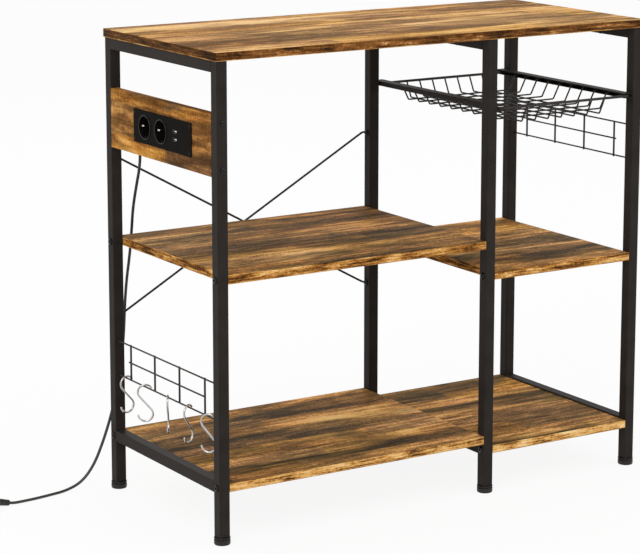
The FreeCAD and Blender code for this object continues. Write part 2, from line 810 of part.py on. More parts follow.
def plug(tail, last_run):
    """A round two-pin plug in line with the cord's last run."""
    level = math.hypot(last_run.x, last_run.y)
    direction = FreeCAD.Vector(last_run.x, last_run.y, level * math.tan(PLUG_TILT))
    turn = FreeCAD.Rotation(FreeCAD.Vector(0, 0, 1), direction)
    relief_end = "relief_length"
    grip_end = f"({relief_end} + plug_grip_length)"
    shoulder_end = f"({grip_end} + plug_shoulder_length)"
    relief = new_body("plug_strain_relief")
    revolve(relief, (
        ("0", "0"),
        ("plug_relief_tip_width / 2", "0"),
        ("plug_relief_base_width / 2", relief_end),
        ("0", relief_end),
    ))
    body = new_body("plug_body")
    revolve(body, (
        ("0", relief_end),
        ("plug_grip_width / 2", relief_end),
        ("plug_shoulder_width / 2", grip_end),
        ("plug_shoulder_width / 2", f"({shoulder_end} - plug_shoulder_length / 3)"),
        ("plug_width / 2", shoulder_end),
        ("plug_width / 2", PLUG_LENGTH),
        ("0", PLUG_LENGTH),
    ))
    pins = new_body("plug_pins")
    outline = new_sketch(pins, "XY_Plane", "outline", PLUG_LENGTH)
    circle(outline, "-pin_spacing / 2", "0", "pin_width / 2")
    circle(outline, "pin_spacing / 2", "0", "pin_width / 2")
    pad(pins, outline, "pin_length")
    for item in (relief, body, pins):
        for letter in "xyz":
            item.setExpression("Placement.Base." + letter, None)
        item.Placement = FreeCAD.Placement(tail, turn)
        keep(item, item.Label)


def brace():
    """Two rods behind the left bay, each bent forward at both ends into an eye on a rear post."""
    radius = size("brace_width / 2")
    back = size(f"{BACK} + post_side / 2")
    eye_y = size(f"{BACK} + {BRACE_EYE_FROM_POST}")
    left = size(f"{LEFT} + post_side / 2")
    right = size(f"{MIDDLE} - post_side / 2")
    low, high = size(BRACE_LOW), size(BRACE_HIGH)
    gap = size("part_gap")
    eye_radius = size("brace_eye_width / 2")
    thickness = size("brace_eye_thickness")
    rods = (
        ("brace_rod_rising", back + gap + radius, low, high),
        ("brace_rod_falling", back + 2 * gap + 3 * radius, high, low),
    )
    for name, plane, left_z, right_z in rods:
        start = FreeCAD.Vector(left + radius, eye_y, left_z)
        end = FreeCAD.Vector(right - radius, eye_y, right_z)
        forward = FreeCAD.Vector(0, size("screw_head_width / 2 + part_gap"), 0)
        corners = [start + forward, start, end, end + forward]
        corners[1].y = plane
        corners[2].y = plane
        path = bent_path(corners, [size("brace_bend")] * 2)
        rod = round_tube(path, 2 * radius)
        pieces = []
        for place_x, centre, sense in ((left, start, 1), (right, end, -1)):
            face = FreeCAD.Vector(place_x, eye_y, left_z if sense > 0 else right_z)
            outward = FreeCAD.Vector(sense, 0, 0)
            disc = Part.makeCylinder(eye_radius, thickness, face, outward)
            hole = Part.makeCylinder(size("screw_width / 2"), thickness, face, outward)
            pieces.append(disc.cut(hole))
        shape_node(name, rod.fuse(pieces))
    places = []
    for height in (BRACE_LOW, BRACE_HIGH):
        y = f"{BACK} + {BRACE_EYE_FROM_POST}"
        places.append((f"{LEFT} + post_side / 2 + brace_eye_thickness", y, height, "+X"))
        places.append((f"{MIDDLE} - post_side / 2 - brace_eye_thickness", y, height, "-X"))
    copies("brace_screws", post_screw(), places)


def post_screw():
    """The short screw that the brace and the basket rails share."""
    found = document.getObject("post_screw_pattern")
    return found or bolt(
        "post_screw_pattern", "screw_head_width", "screw_head_height", "screw_width", "screw_width",
        "post_screw_length",
    )


# Each grid's frame, the way to the unit's middle and the height of its bottom wire.
GRIDS = (
    ("left", LEFT, 1, "left_grid_bottom"),
    ("right", RIGHT, -1, f"{TOP_UNDERSIDE} - right_grid_drop - 2 * grid_spacing"),
)
UPRIGHT_SPACING = f"({RAIL_LENGTH} / 4)"
UPRIGHT_STEPS = (-1.5, -0.5, 0.5, 1.5)


def grids():
    """Three long wires, with four uprights welded to their inner side."""
    for side, frame, inward, bottom in GRIDS:
        name = f"grid_panel_{side}"
        plane = f"({frame} - {inward} * (post_side / 2 - grid_setback))"
        body = new_body(name, plane, "0", bottom)
        long_wires = new_sketch(body, "XZ_Plane", "long_wires")
        circle(long_wires, "0", "0", "grid_wire / 2")
        circle(long_wires, "0", "2 * grid_spacing", "grid_wire / 2")
        pad(body, long_wires, RAIL_LENGTH, True)
        middle_wire = new_sketch(body, "XZ_Plane", "middle_wire")
        circle(middle_wire, "0", "grid_spacing", "grid_wire / 2")
        pad(body, middle_wire, f"(3 * {UPRIGHT_SPACING} + 2 * grid_upright_end)", True)
        uprights = new_sketch(body, "XY_Plane", "uprights", "-grid_upright_end")
        for step in UPRIGHT_STEPS:
            circle(uprights, f"{inward} * grid_wire", f"{step} * {UPRIGHT_SPACING}", "grid_wire / 2")
        pad(body, uprights, "(2 * grid_spacing + 2 * grid_upright_end)")
        keep(body, name)


# Each hook's place along the grid, as a share of half the frame's depth, and its turn about Z.
HOOK_SHARES = (0.732, 0.384, -0.035, -0.404, -0.758)
HOOK_TURNS = (5, -28, 58, 28, -50)
HOOK_BEND = "(hook_width / 2 - hook_wire / 2)"
HOOK_TOP = "(grid_wire / 2 + part_gap + hook_wire / 2)"
HOOK_UPPER = f"({HOOK_TOP} - {HOOK_BEND})"
HOOK_LOWER = f"({HOOK_TOP} - hook_height + hook_wire + {HOOK_BEND})"


def hooks():
    """S-hooks over the bottom wire of the left grid, each turned its own way."""
    bend = size(HOOK_BEND)
    upper = FreeCAD.Vector(0, size(HOOK_UPPER), 0)
    lower = FreeCAD.Vector(0, size(HOOK_LOWER), 0)
    normal = FreeCAD.Vector(0, 0, 1)
    slant = math.acos(2 * bend / (upper.y - lower.y))
    leave = 1.5 * math.pi - slant
    arrive = 0.5 * math.pi - slant
    free_end = math.asin(1 - size("hook_tip_drop") / bend)
    tip = -math.pi + math.asin(1 - size("hook_tip_rise") / bend)
    for number, (share, turn) in enumerate(zip(HOOK_SHARES, HOOK_TURNS), start=1):
        name = "hook_%d" % number
        y = f"{share} * {FRAME_DEPTH} / 2"
        body = new_body(name, f"{OUTER_FACE} + grid_setback", y, "left_grid_bottom", (0, 0, 1), turn)
        path = new_sketch(body, "XZ_Plane", "path")
        top = path.addGeometry(Part.ArcOfCircle(Part.Circle(upper, normal, bend), free_end, leave), False)
        spine = path.addGeometry(Part.LineSegment(
            upper + FreeCAD.Vector(math.cos(leave), math.sin(leave), 0) * bend,
            lower + FreeCAD.Vector(math.cos(arrive), math.sin(arrive), 0) * bend,
        ), False)
        base = path.addGeometry(Part.ArcOfCircle(Part.Circle(lower, normal, bend), tip, arrive), False)
        fix_point(path, top, 3, "0", HOOK_UPPER)
        fix_point(path, base, 3, "0", HOOK_LOWER)
        for arc in (top, base):
            constrain(path, "Radius", arc, text=HOOK_BEND)
        path.addConstraint(Sketcher.Constraint("Tangent", top, 2, spine, 1))
        path.addConstraint(Sketcher.Constraint("Tangent", spine, 2, base, 2))
        constrain(path, "DistanceY", -1, 1, top, 1, text=f"{HOOK_TOP} - hook_tip_drop")
        constrain(path, "DistanceY", -1, 1, base, 1, text=f"{HOOK_LOWER} - {HOOK_BEND} + hook_tip_rise")
        wire_along(body, path, "hook_wire", "Transformed")
        keep(body, name)


CHANNEL_BOTTOM = f"({TOP_UNDERSIDE} - channel_drop - channel_height)"
CHANNEL_LENGTH = f"({FRAME_DEPTH} - 2 * channel_setback)"
BASKET_MIDDLE = f"(({MIDDLE} + {RIGHT}) / 2)"
BASKET_LENGTH = f"({RIGHT_BAY_WIDTH} - 2 * (channel_sheet + basket_side_gap) - basket_rim_wire)"
BASKET_DEPTH = f"({CHANNEL_LENGTH} - basket_play)"
RIM_HEIGHT = f"({CHANNEL_BOTTOM} + channel_sheet + part_gap + basket_rim_wire / 2)"


def channels():
    """Rails for the basket: sheet channels that open towards each other, closed at the rear."""
    for side, x, inward in (("left", MIDDLE, 1), ("right", RIGHT, -1)):
        name = f"basket_rail_{side}"
        body = new_body(name, f"{x} + {inward} * post_side / 2", "0", CHANNEL_BOTTOM)
        outline = new_sketch(body, "XZ_Plane", "outline")
        web = f"{inward} * channel_sheet"
        mouth = f"{inward} * channel_width"
        straight_lines(outline, (
            ("0", "0"),
            (mouth, "0"),
            (mouth, "channel_sheet"),
            (web, "channel_sheet"),
            (web, "channel_height - channel_sheet"),
            (mouth, "channel_height - channel_sheet"),
            (mouth, "channel_height"),
            ("0", "channel_height"),
        ))
        pad(body, outline, CHANNEL_LENGTH, True)
        end = new_sketch(body, "XZ_Plane", "rear_end", f"-{CHANNEL_LENGTH} / 2")
        rectangle(end, "channel_width", "channel_height", f"{mouth} / 2", "channel_height / 2")
        pad(body, end, "channel_sheet")
        holes = [(y, "channel_height / 2") for _, y in SIDES]
        drill(body, "YZ_Plane", holes, "screw_width")
        keep(body, name)
    places = []
    for _, y in SIDES:
        places.append((f"{MIDDLE} + post_side / 2 + channel_sheet", y, CHANNEL_MIDDLE, "+X"))
        places.append((f"{RIGHT} - post_side / 2 - channel_sheet", y, CHANNEL_MIDDLE, "-X"))
    flat = bolt(
        "channel_screw_pattern", "(channel_height - 3 * channel_sheet)", "channel_sheet", "screw_width",
        "screw_width", "post_screw_length",
    )
    copies("basket_rail_screws", flat, places)


def basket():
    """A rim that slides in the rails, and wires bent down from it into a shallow tray."""
    y = "-basket_setback"
    rim_radius = "(basket_rim_wire / 2)"
    rim = new_body("basket_rim", BASKET_MIDDLE, y, RIM_HEIGHT)
    path = new_sketch(rim, "XY_Plane", "path")
    half_x, half_y = f"({BASKET_LENGTH} / 2)", f"({BASKET_DEPTH} / 2)"
    cut = "basket_rim_bend"
    straight_lines(path, (
        (f"-{half_x}", f"-{half_y} + {cut}"),
        (f"-{half_x}", f"{half_y} - {cut}"),
        (f"-{half_x} + {cut}", half_y),
        (f"{half_x} - {cut}", half_y),
        (half_x, f"{half_y} - {cut}"),
        (half_x, f"-{half_y} + {cut}"),
        (f"{half_x} - {cut}", f"-{half_y}"),
        (f"-{half_x} + {cut}", f"-{half_y}"),
    ))
    wire_along(rim, path, "basket_rim_wire")
    keep(rim, "basket_rim")

    # Nine cross wires and seven long wires, spaced evenly between the slopes of the tray.
    spacing = f"(({BASKET_DEPTH} - 2 * basket_slope) / 10)"
    cross = new_body("basket_cross_wires", BASKET_MIDDLE, f"{y} - 4 * {spacing}", RIM_HEIGHT)
    path = new_sketch(cross, "XZ_Plane", "path")
    outer = f"({half_x} - {rim_radius})"
    lip = f"({half_x} - basket_shelf)"
    foot = f"({lip} - basket_slope)"
    straight_lines(path, (
        (f"-{outer}", "0"),
        (f"-{lip}", "0"),
        (f"-{foot}", "-basket_drop"),
        (foot, "-basket_drop"),
        (lip, "0"),
        (outer, "0"),
    ), closed=False)
    repeat(cross, wire_along(cross, path, "basket_wire"), "Y_Axis", f"8 * {spacing}", 9)
    keep(cross, "basket_cross_wires")

    spacing = f"({foot} / 4)"
    along = new_body("basket_long_wires", f"{BASKET_MIDDLE} - 3 * {spacing}", y, RIM_HEIGHT)
    path = new_sketch(along, "YZ_Plane", "path")
    depth = "(basket_drop + basket_wire)"
    slope = f"sqrt(basket_slope^2 + {depth}^2)"
    top_in = f"({half_y} - {rim_radius} * basket_slope / {slope})"
    top_down = f"(-{rim_radius} * {depth} / {slope})"
    straight_lines(path, (
        (f"-{top_in}", top_down),
        (f"-({half_y} - basket_slope)", f"-{depth}"),
        (f"{half_y} - basket_slope", f"-{depth}"),
        (top_in, top_down),
    ), closed=False)
    repeat(along, wire_along(along, path, "basket_wire"), "X_Axis", f"6 * {spacing}", 7)
    keep(along, "basket_long_wires")


posts()
rails()
boards()
shelf_bolts()
top_board_screws()
feet()
socket_board()
outlet_plate()
outlet_housing()
socket_inserts()
socket_metal()
usb_ports()
cord()
brace()
grids()
hooks()
channels()
basket()

document.recompute()
for item in document.Objects:
    if "Invalid" in item.State or "Error" in item.State:
        raise RuntimeError(item.Label + " did not build")
for name, item in nodes.items():
    if item.Shape.isNull() or not item.Shape.isValid() or not item.Shape.Solids:
        raise RuntimeError(name + " is not a valid solid")

os.makedirs("parts", exist_ok=True)
for name, item in nodes.items():
    item.Shape.exportStep("parts/" + name + ".step")
print(len(nodes), "nodes")
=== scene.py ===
"""A kitchen shelving unit: rustic laminate boards on three black steel frames."""

import json
import math

import bmesh
import bpy
from mathutils import Matrix, Vector


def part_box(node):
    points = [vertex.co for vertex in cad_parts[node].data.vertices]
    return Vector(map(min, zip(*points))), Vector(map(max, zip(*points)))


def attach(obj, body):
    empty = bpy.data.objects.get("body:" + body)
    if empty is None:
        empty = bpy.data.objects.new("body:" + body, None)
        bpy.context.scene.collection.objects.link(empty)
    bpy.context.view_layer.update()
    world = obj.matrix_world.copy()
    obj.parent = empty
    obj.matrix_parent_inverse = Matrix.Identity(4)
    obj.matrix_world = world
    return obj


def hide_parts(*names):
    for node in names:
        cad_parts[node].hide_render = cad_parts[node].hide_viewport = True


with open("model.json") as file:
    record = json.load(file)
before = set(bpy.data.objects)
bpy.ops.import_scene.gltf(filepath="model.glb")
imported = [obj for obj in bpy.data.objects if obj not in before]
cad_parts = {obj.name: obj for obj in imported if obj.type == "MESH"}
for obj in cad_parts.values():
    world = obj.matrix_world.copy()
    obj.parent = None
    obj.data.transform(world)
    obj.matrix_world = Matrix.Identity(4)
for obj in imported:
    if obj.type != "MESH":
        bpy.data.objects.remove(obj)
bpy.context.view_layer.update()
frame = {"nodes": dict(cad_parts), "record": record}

MM = 0.001


def mm(*values):
    """A point given in millimetres."""
    return Vector(values) * MM


# The camera stands in front of the socket end and looks down on the boards.
PHOTO_WIDTH = 640
FOCAL_PIXELS = 2445.8
SENSOR_WIDTH = 36.0
CAMERA_PLACE = mm(-2409.8, -3632.9, 1348.8)
CAMERA_YAW = -0.5618
CAMERA_PITCH = 0.1805
CAMERA_SHIFT = -0.15
CAMERA_REACH = 50


def set_up_camera():
    camera = bpy.data.objects.new("camera", bpy.data.cameras.new("camera"))
    bpy.context.collection.objects.link(camera)
    camera.data.sensor_width = SENSOR_WIDTH
    camera.data.lens = FOCAL_PIXELS / PHOTO_WIDTH * SENSOR_WIDTH
    camera.data.shift_y = CAMERA_SHIFT
    camera.data.clip_end = CAMERA_REACH
    camera.location = CAMERA_PLACE
    camera.rotation_euler = (math.pi / 2 - CAMERA_PITCH, 0, CAMERA_YAW)
    bpy.context.scene.camera = camera


def linear(colour):
    """A scene-linear colour from an sRGB hex value such as 6e4a2a."""
    channels = [int(colour[i:i + 2], 16) / 255 for i in (0, 2, 4)]
    return [c / 12.92 if c <= 0.04045 else ((c + 0.055) / 1.055) ** 2.4 for c in channels] + [1.0]


def node(tree, kind, settings=None, inputs=None):
    """Adds a node, with its own settings and its inputs, each a value or another node's socket."""
    made = tree.nodes.new("ShaderNode" + kind)
    for name, value in (settings or {}).items():
        setattr(made, name, value)
    for name, value in (inputs or {}).items():
        if isinstance(value, bpy.types.NodeSocket):
            tree.links.new(value, made.inputs[name])
        else:
            made.inputs[name].default_value = value
    return made


def ramp(tree, factor, stops):
    """Colours along a factor, given as places and hex values."""
    made = node(tree, "ValToRGB", inputs={"Fac": factor})
    band = made.color_ramp.elements
    band[0].position, band[0].color = stops[0][0], linear(stops[0][1])
    band[1].position, band[1].color = stops[-1][0], linear(stops[-1][1])
    for place, colour in stops[1:-1]:
        band.new(place).color = linear(colour)
    return made.outputs["Color"]


def new_material(name):
    material = bpy.data.materials.new(name)
    material.use_nodes = True
    tree = material.node_tree
    return material, tree, tree.nodes["Principled BSDF"]


def across(period_mm):
    """The scale that gives a pattern a period in millimetres."""
    return 1 / (period_mm * MM)


def stretched(tree, along_mm, across_mm, grain, offset=(0, 0, 0), moved=None):
    """Object coordinates in which one unit is this long along and across the grain."""
    scale = [across(across_mm)] * 3
    scale[grain] = across(along_mm)
    coordinates = node(tree, "TexCoord").outputs["Object"]
    place = node(tree, "Mapping", inputs={"Vector": coordinates, "Location": offset, "Scale": scale})
    if moved is None:
        return place.outputs["Vector"]
    return node(tree, "VectorMath", {"operation": "ADD"}, {
        0: place.outputs["Vector"], 1: moved,
    }).outputs[0]


def blend(tree, value, share, added):
    """The sum of a pattern, times its share, and what is there already."""
    return node(tree, "Math", {"operation": "MULTIPLY_ADD"}, {0: value, 1: share, 2: added}).outputs[0]


# Printed planks: their width and length, and the grain that fills them.
PLANK_WIDTH_MM = 58
PLANK_LENGTH_MM = 430
# Where the first row starts, and how many planks a row may be staggered by.
ROW_START = 0.35
STAGGER = 5.0
# The middle of the colour ramps, and how far a worm speck goes down them.
MIDDLE_TONE = 0.485
SPECK_TONE = -0.3


def rustic_laminate(name, grain, crosswise, offset, marks, stops, smoke, spread=1.0):
    """Printed rustic wood-grain melamine: staggered planks of tan and brown with golden patches, smoky
    bands, worm specks and saw marks, under a matt film that takes no clear reflections. spread is the
    share of their full size at which the broad streaks and bands are printed."""
    material, tree, surface = new_material(name)
    coordinates = node(tree, "TexCoord").outputs["Object"]
    parts = node(tree, "SeparateXYZ", inputs={"Vector": coordinates})
    row = node(tree, "Math", {"operation": "FLOOR"}, {
        0: blend(tree, parts.outputs[crosswise], across(PLANK_WIDTH_MM), offset[0] + ROW_START),
    }).outputs[0]
    stagger = node(tree, "TexWhiteNoise", {"noise_dimensions": "1D"}, {"W": row}).outputs["Value"]
    column = node(tree, "Math", {"operation": "FLOOR"}, {
        0: blend(tree, parts.outputs[grain], across(PLANK_LENGTH_MM),
                 blend(tree, stagger, STAGGER, offset[1])),
    }).outputs[0]
    cell = node(tree, "CombineXYZ", inputs={"X": row, "Y": column})
    plank = node(tree, "TexWhiteNoise", {"noise_dimensions": "2D"}, {"Vector": cell.outputs[0]})

    def grain_noise(along_mm, across_mm, detail, roughness, shift=0.0, by_plank=False, distortion=0.0):
        place = [value + shift for value in offset]
        moved = plank.outputs["Color"] if by_plank else None
        return node(tree, "TexNoise", inputs={
            "Vector": stretched(tree, along_mm, across_mm, grain, place, moved), "Scale": 1.0,
            "Detail": detail, "Roughness": roughness, "Distortion": distortion,
        }).outputs["Fac"]

    streaks = grain_noise(470 * spread, 68 * spread, 5.0, 0.55, distortion=0.6)
    patches = grain_noise(75, 20, 5.0, 0.64, shift=9.7, by_plank=True, distortion=0.6)
    lines = grain_noise(260, 9, 3.0, 0.6, shift=15.1)
    fibres = grain_noise(34, 3.2, 3.0, 0.7, shift=2.3)
    saw_marks = grain_noise(3.4, 8, 3.0, 0.7, shift=6.2)
    shares = (
        (streaks, 1.6), (patches, 0.8), (lines, 0.6), (plank.outputs["Value"], 0.16), (fibres, 0.42),
        (saw_marks, marks),
    )
    tone = MIDDLE_TONE - sum(share for _, share in shares) / 2
    for pattern, share in shares:
        tone = blend(tree, pattern, share, tone)

    # Worm specks and small knots, in loose clusters.
    specks = node(tree, "TexVoronoi", inputs={
        "Vector": stretched(tree, 8, 12, grain, offset), "Scale": 1.0, "Randomness": 1.0,
    }).outputs["Distance"]
    speck = node(tree, "MapRange", inputs={
        "Value": specks, "From Min": 0.08, "From Max": 0.26, "To Min": 1.0, "To Max": 0.0,
    })
    clusters = node(tree, "MapRange", inputs={
        "Value": grain_noise(80, 50, 2.0, 0.5, shift=13.0), "From Min": 0.48, "From Max": 0.6,
    })
    tone = blend(tree, node(tree, "Math", {"operation": "MULTIPLY"}, {
        0: speck.outputs[0], 1: clusters.outputs[0],
    }).outputs[0], SPECK_TONE, tone)

    # Smoky bands, broken up by the saw marks.
    smoke_noise = grain_noise(430 * spread, 60 * spread, 4.0, 0.6, shift=21.0, distortion=0.6)
    bands = blend(tree, saw_marks, 0.2, smoke_noise)
    smoky = node(tree, "MapRange", inputs={
        "Value": bands, "From Min": 0.61, "From Max": 0.76, "To Max": 0.95,
    })
    print_colour = node(tree, "Mix", {"data_type": "RGBA"}, {
        0: smoky.outputs[0], 6: ramp(tree, tone, stops), 7: ramp(tree, tone, smoke),
    })
    # Some planks lean to red, others to straw, and some are printed greyer.
    lean = node(tree, "MapRange", inputs={
        "Value": grain_noise(210, 46, 2.0, 0.5, shift=31.0, by_plank=True),
        "From Min": 0.3, "From Max": 0.7, "To Min": 0.493, "To Max": 0.507,
    })
    strength = node(tree, "MapRange", inputs={
        "Value": plank.outputs["Value"], "To Min": 0.93, "To Max": 1.06,
    })
    tinted = node(tree, "HueSaturation", inputs={
        "Hue": lean.outputs[0], "Saturation": strength.outputs[0], "Color": print_colour.outputs[2],
    })
    tree.links.new(tinted.outputs[0], surface.inputs["Base Color"])
    height = node(tree, "Bump", inputs={"Height": fibres, "Strength": 0.10, "Distance": 0.15 * MM})
    tree.links.new(height.outputs["Normal"], surface.inputs["Normal"])
    gloss = node(tree, "MapRange", inputs={"Value": bands, "To Min": 0.6, "To Max": 0.72})
    tree.links.new(gloss.outputs[0], surface.inputs["Roughness"])
    surface.inputs["Specular IOR Level"].default_value = 0.04
    return material


def edge_banding(name, offset, stops):
    """Printed melamine edge strip: short streaks along the edge, end-grain flecks and dark nicks."""
    material, tree, surface = new_material(name)

    def flecks(along_mm, height_mm, detail, shift):
        coordinates = node(tree, "TexCoord").outputs["Object"]
        scale = (across(along_mm), across(along_mm), across(height_mm))
        place = node(tree, "Mapping", inputs={
            "Vector": coordinates, "Location": (offset + shift, offset, shift), "Scale": scale,
        })
        return node(tree, "TexNoise", inputs={
            "Vector": place.outputs[0], "Scale": 1.0, "Detail": detail, "Roughness": 0.65,
        }).outputs["Fac"]

    tone = blend(tree, flecks(60, 13, 4.0, 0.0), 1.9, -1.45)
    tone = blend(tree, flecks(55, 2.6, 3.0, 3.7), 1.35, tone)
    tone = blend(tree, flecks(4.2, 4.5, 3.0, 8.1), 0.65, tone)
    tree.links.new(ramp(tree, tone, stops), surface.inputs["Base Color"])
    surface.inputs["Roughness"].default_value = 0.65
    surface.inputs["Specular IOR Level"].default_value = 0.05
    return material


def fine_grain(tree, surface, period_mm, strength, depth_mm):
    """A fine even bump in the surface."""
    coordinates = node(tree, "TexCoord").outputs["Object"]
    grain = node(tree, "TexNoise", inputs={
        "Vector": coordinates, "Scale": across(period_mm), "Detail": 2.0, "Roughness": 0.6,
    })
    bump = node(tree, "Bump", inputs={
        "Height": grain.outputs["Fac"], "Strength": strength, "Distance": depth_mm * MM,
    })
    tree.links.new(bump.outputs["Normal"], surface.inputs["Normal"])
    return grain.outputs["Fac"]


def plain_finish(name, low, high, roughness, period_mm, strength, depth_mm, metallic=0.0, specular=0.5):
    """A finish whose colour and gloss wander a little between two near tones."""
    material, tree, surface = new_material(name)
    grain = fine_grain(tree, surface, period_mm, strength, depth_mm)
    coordinates = node(tree, "TexCoord").outputs["Object"]
    cloud = node(tree, "TexNoise", inputs={"Vector": coordinates, "Scale": across(35), "Detail": 3.0})
    mixed = blend(tree, grain, 0.4, cloud.outputs["Fac"])
    tree.links.new(ramp(tree, mixed, ((0.45, low), (0.95, high))), surface.inputs["Base Color"])
    gloss = node(tree, "MapRange", inputs={
        "Value": cloud.outputs["Fac"], "To Min": roughness - 0.05, "To Max": roughness + 0.05,
    })
    tree.links.new(gloss.outputs["Result"], surface.inputs["Roughness"])
    surface.inputs["Metallic"].default_value = metallic
    surface.inputs["Specular IOR Level"].default_value = specular
    return material


set_up_camera()
# The boards below the top board carry a darker copy of its print: the darkening is painted shade, for
# the shadow the top board casts on them.
TOP_PRINT = (
    (0.13, "5c3f22"), (0.31, "805a31"), (0.4, "9e733f"), (0.475, "b6854c"), (0.555, "ca985b"),
    (0.67, "e6b471"), (0.86, "f4ce91"),
)
TOP_SMOKE = ((0.3, "624628"), (0.5, "866338"), (0.7, "ad844c"))
# The shelves' print, darkened overall as painted shade under the top board.
SHELF_PRINT_PAINTED_SHADE = (
    (0.14, "3d2f1b"), (0.28, "664b29"), (0.4, "896233"), (0.485, "9d723e"), (0.565, "ba8547"),
    (0.7, "eeb264"), (0.88, "f8ce8a"),
)
# The shelves' smoky bands, darkened the same way as painted shade.
SHELF_SMOKE_PAINTED_SHADE = ((0.3, "302816"), (0.5, "524425"), (0.7, "7f663c"))
SOCKET_PRINT = (
    (0.15, "4b3016"), (0.3, "62401e"), (0.42, "785026"), (0.5, "8b5d30"), (0.58, "a06c39"),
    (0.71, "c08a49"), (0.88, "dbaa66"),
)
SOCKET_SMOKE = ((0.3, "4b3520"), (0.5, "684c2f"), (0.7, "8c6840"))
TOP_LAMINATE = rustic_laminate(
    "rustic_laminate_top", 0, 1, (0.0, 0.3, 0.0), 0.55, TOP_PRINT, TOP_SMOKE)
# The shelves' laminate, whose print and smoke carry painted shade from the top board.
SHELF_LAMINATE_PAINTED_SHADE = rustic_laminate(
    "rustic_laminate_shelves_painted_shade", 0, 1, (3.1, 5.7, 1.0), 0.65, SHELF_PRINT_PAINTED_SHADE, SHELF_SMOKE_PAINTED_SHADE)
SOCKET_LAMINATE = rustic_laminate(
    "rustic_laminate_socket_board", 1, 2, (8.3, 2.9, 6.4), 0.55, SOCKET_PRINT, SOCKET_SMOKE,
    spread=0.5)
# The strips on the boards' edges: dark round the top board, golden on the middle boards and tan on
# the lowest, each with fine streaks along it.
TOP_EDGE = edge_banding("melamine_edge_dark", 0.0, (
    (0.15, "2d1a0b"), (0.4, "553415"), (0.6, "744922"), (0.8, "986431"), (0.95, "cd9d66"),
))
TOP_END = edge_banding("melamine_end_dark", 7.7, (
    (0.15, "27180a"), (0.4, "442c14"), (0.6, "59391b"), (0.8, "734b26"), (0.95, "9a6f42"),
))
MIDDLE_EDGE = edge_banding("melamine_edge_golden", 5.3, (
    (0.15, "38220e"), (0.35, "74491e"), (0.5, "9f6b30"), (0.65, "c28a45"), (0.9, "ecc382"),
))
BOTTOM_EDGE = edge_banding("melamine_edge_tan", 2.6, (
    (0.12, "4a3016"), (0.28, "946635"), (0.42, "c6904d"), (0.58, "dfae66"), (0.9, "f2d39d"),
))
# Along the lower arris the strip is trimmed through to its paler core.
EDGE_CORE = edge_banding("trimmed_edge_core", 3.3, (
    (0.15, "5c3b18"), (0.4, "946535"), (0.6, "c08c4a"), (0.85, "e4ba78"),
))
# Fine-textured black powder coat on steel tube: an even satin black with a faint orange peel.
POWDER_COAT = plain_finish(
    "powder_coated_tube", "221d1a", "2c2724", 0.55, 1.2, 0.10, 0.05, specular=0.1)
# The same coat on wire runs smoother and shinier.
COATED_WIRE = plain_finish(
    "powder_coated_wire", "1d1917", "272220", 0.42, 1.0, 0.06, 0.03, specular=0.3)
# Black oxide keeps the steel's metal sheen: dark, with bright edges.
BLACK_OXIDE = plain_finish(
    "black_oxide_steel", "2a2928", "3c3a38", 0.2, 0.8, 0.08, 0.02, metallic=1.0)
# The mould leaves a fine grain on the feet and the strain relief.
MOULDED_BLACK = plain_finish(
    "moulded_black_polypropylene", "1a1716", "252120", 0.5, 0.9, 0.10, 0.04, specular=0.3)
# The outlet's deep black plastic, almost without a reflection.
SATIN_ABS = plain_finish(
    "satin_black_abs", "0c0b09", "14120f", 0.5, 1.5, 0.02, 0.01, specular=0.02)
# The rims of the wells are moulded from the same plastic with a polished face.
POLISHED_ABS = plain_finish(
    "polished_black_abs", "0c0b09", "14120f", 0.2, 1.5, 0.02, 0.01, specular=0.16)
# The tongues in the USB ports: near white, so that they show as light slots.
PALE_NYLON = plain_finish("pale_nylon", "f0efec", "fbfaf7", 0.5, 0.9, 0.08, 0.02)
# Contacts and earth springs: warm pale metal with small clear glints.
NICKEL_BRASS = plain_finish(
    "nickel_plated_brass", "c9c3b0", "e2ddd0", 0.25, 0.8, 0.03, 0.01, metallic=1.0)
# The ports' shells, greyer than the contacts.
NICKEL_SHEET = plain_finish(
    "nickel_plated_sheet", "6a6a68", "7e7e7c", 0.25, 0.8, 0.03, 0.01, metallic=1.0)
# The USB ports' board: a dull green that hardly shows behind the plate.
GREEN_BOARD = plain_finish("glass_fibre_board", "16402a", "1f5738", 0.4, 0.8, 0.05, 0.02)
# Soft PVC on the cord and plug takes a long low highlight.
PVC_SHEATH = plain_finish("black_pvc_sheath", "1b1918", "272423", 0.36, 1.0, 0.06, 0.03, specular=0.6)
# Bright chrome on the hooks mirrors the white room.
CHROME = plain_finish("chrome_plate", "aaa8a6", "c8c6c2", 0.12, 1.0, 0.01, 0.005, metallic=1.0)
SLOT_MATERIALS = {
    "wood_grain_board": SHELF_LAMINATE_PAINTED_SHADE,
    "powder_coated_steel": POWDER_COAT,
    "black_wire": COATED_WIRE,
    "black_bolts": BLACK_OXIDE,
    "black_plastic": MOULDED_BLACK,
    "outlet_plastic": SATIN_ABS,
    "pale_plastic": PALE_NYLON,
    "contact_metal": NICKEL_BRASS,
    "bright_steel": NICKEL_SHEET,
    "circuit_board": GREEN_BOARD,
    "cord_sheath": PVC_SHEATH,
    "plug_plastic": PVC_SHEATH,
    "chrome_hooks": CHROME,
}


def dress_cad_nodes():
    """Every CAD node gets the material of its slot."""
    slots = {part["node"]: part["material_slot"] for part in frame["record"]["subparts"]}
    for name, item in frame["nodes"].items():
        item.data.materials.clear()
        item.data.materials.append(SLOT_MATERIALS[slots[name]])


def corners(name):
    """The lowest and highest corner of a CAD node."""
    low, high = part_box(name)
    return Vector(low), Vector(high)


# Edges sharper than this many degrees stay crisp, and points nearer than this are one.
SHARP_ANGLE = 32
MERGE_DISTANCE = 0.002 * MM


def add_piece(name, data, slot, body, nodes, materials=None):
    """Puts mesh or curve data in the scene, on a body and in place of CAD nodes."""
    for material in materials or [SLOT_MATERIALS[slot]]:
        data.materials.append(material)
    piece = bpy.data.objects.new(name, data)
    bpy.context.collection.objects.link(piece)
    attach(piece, body)
    if nodes:
        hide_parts(*nodes)
    return piece


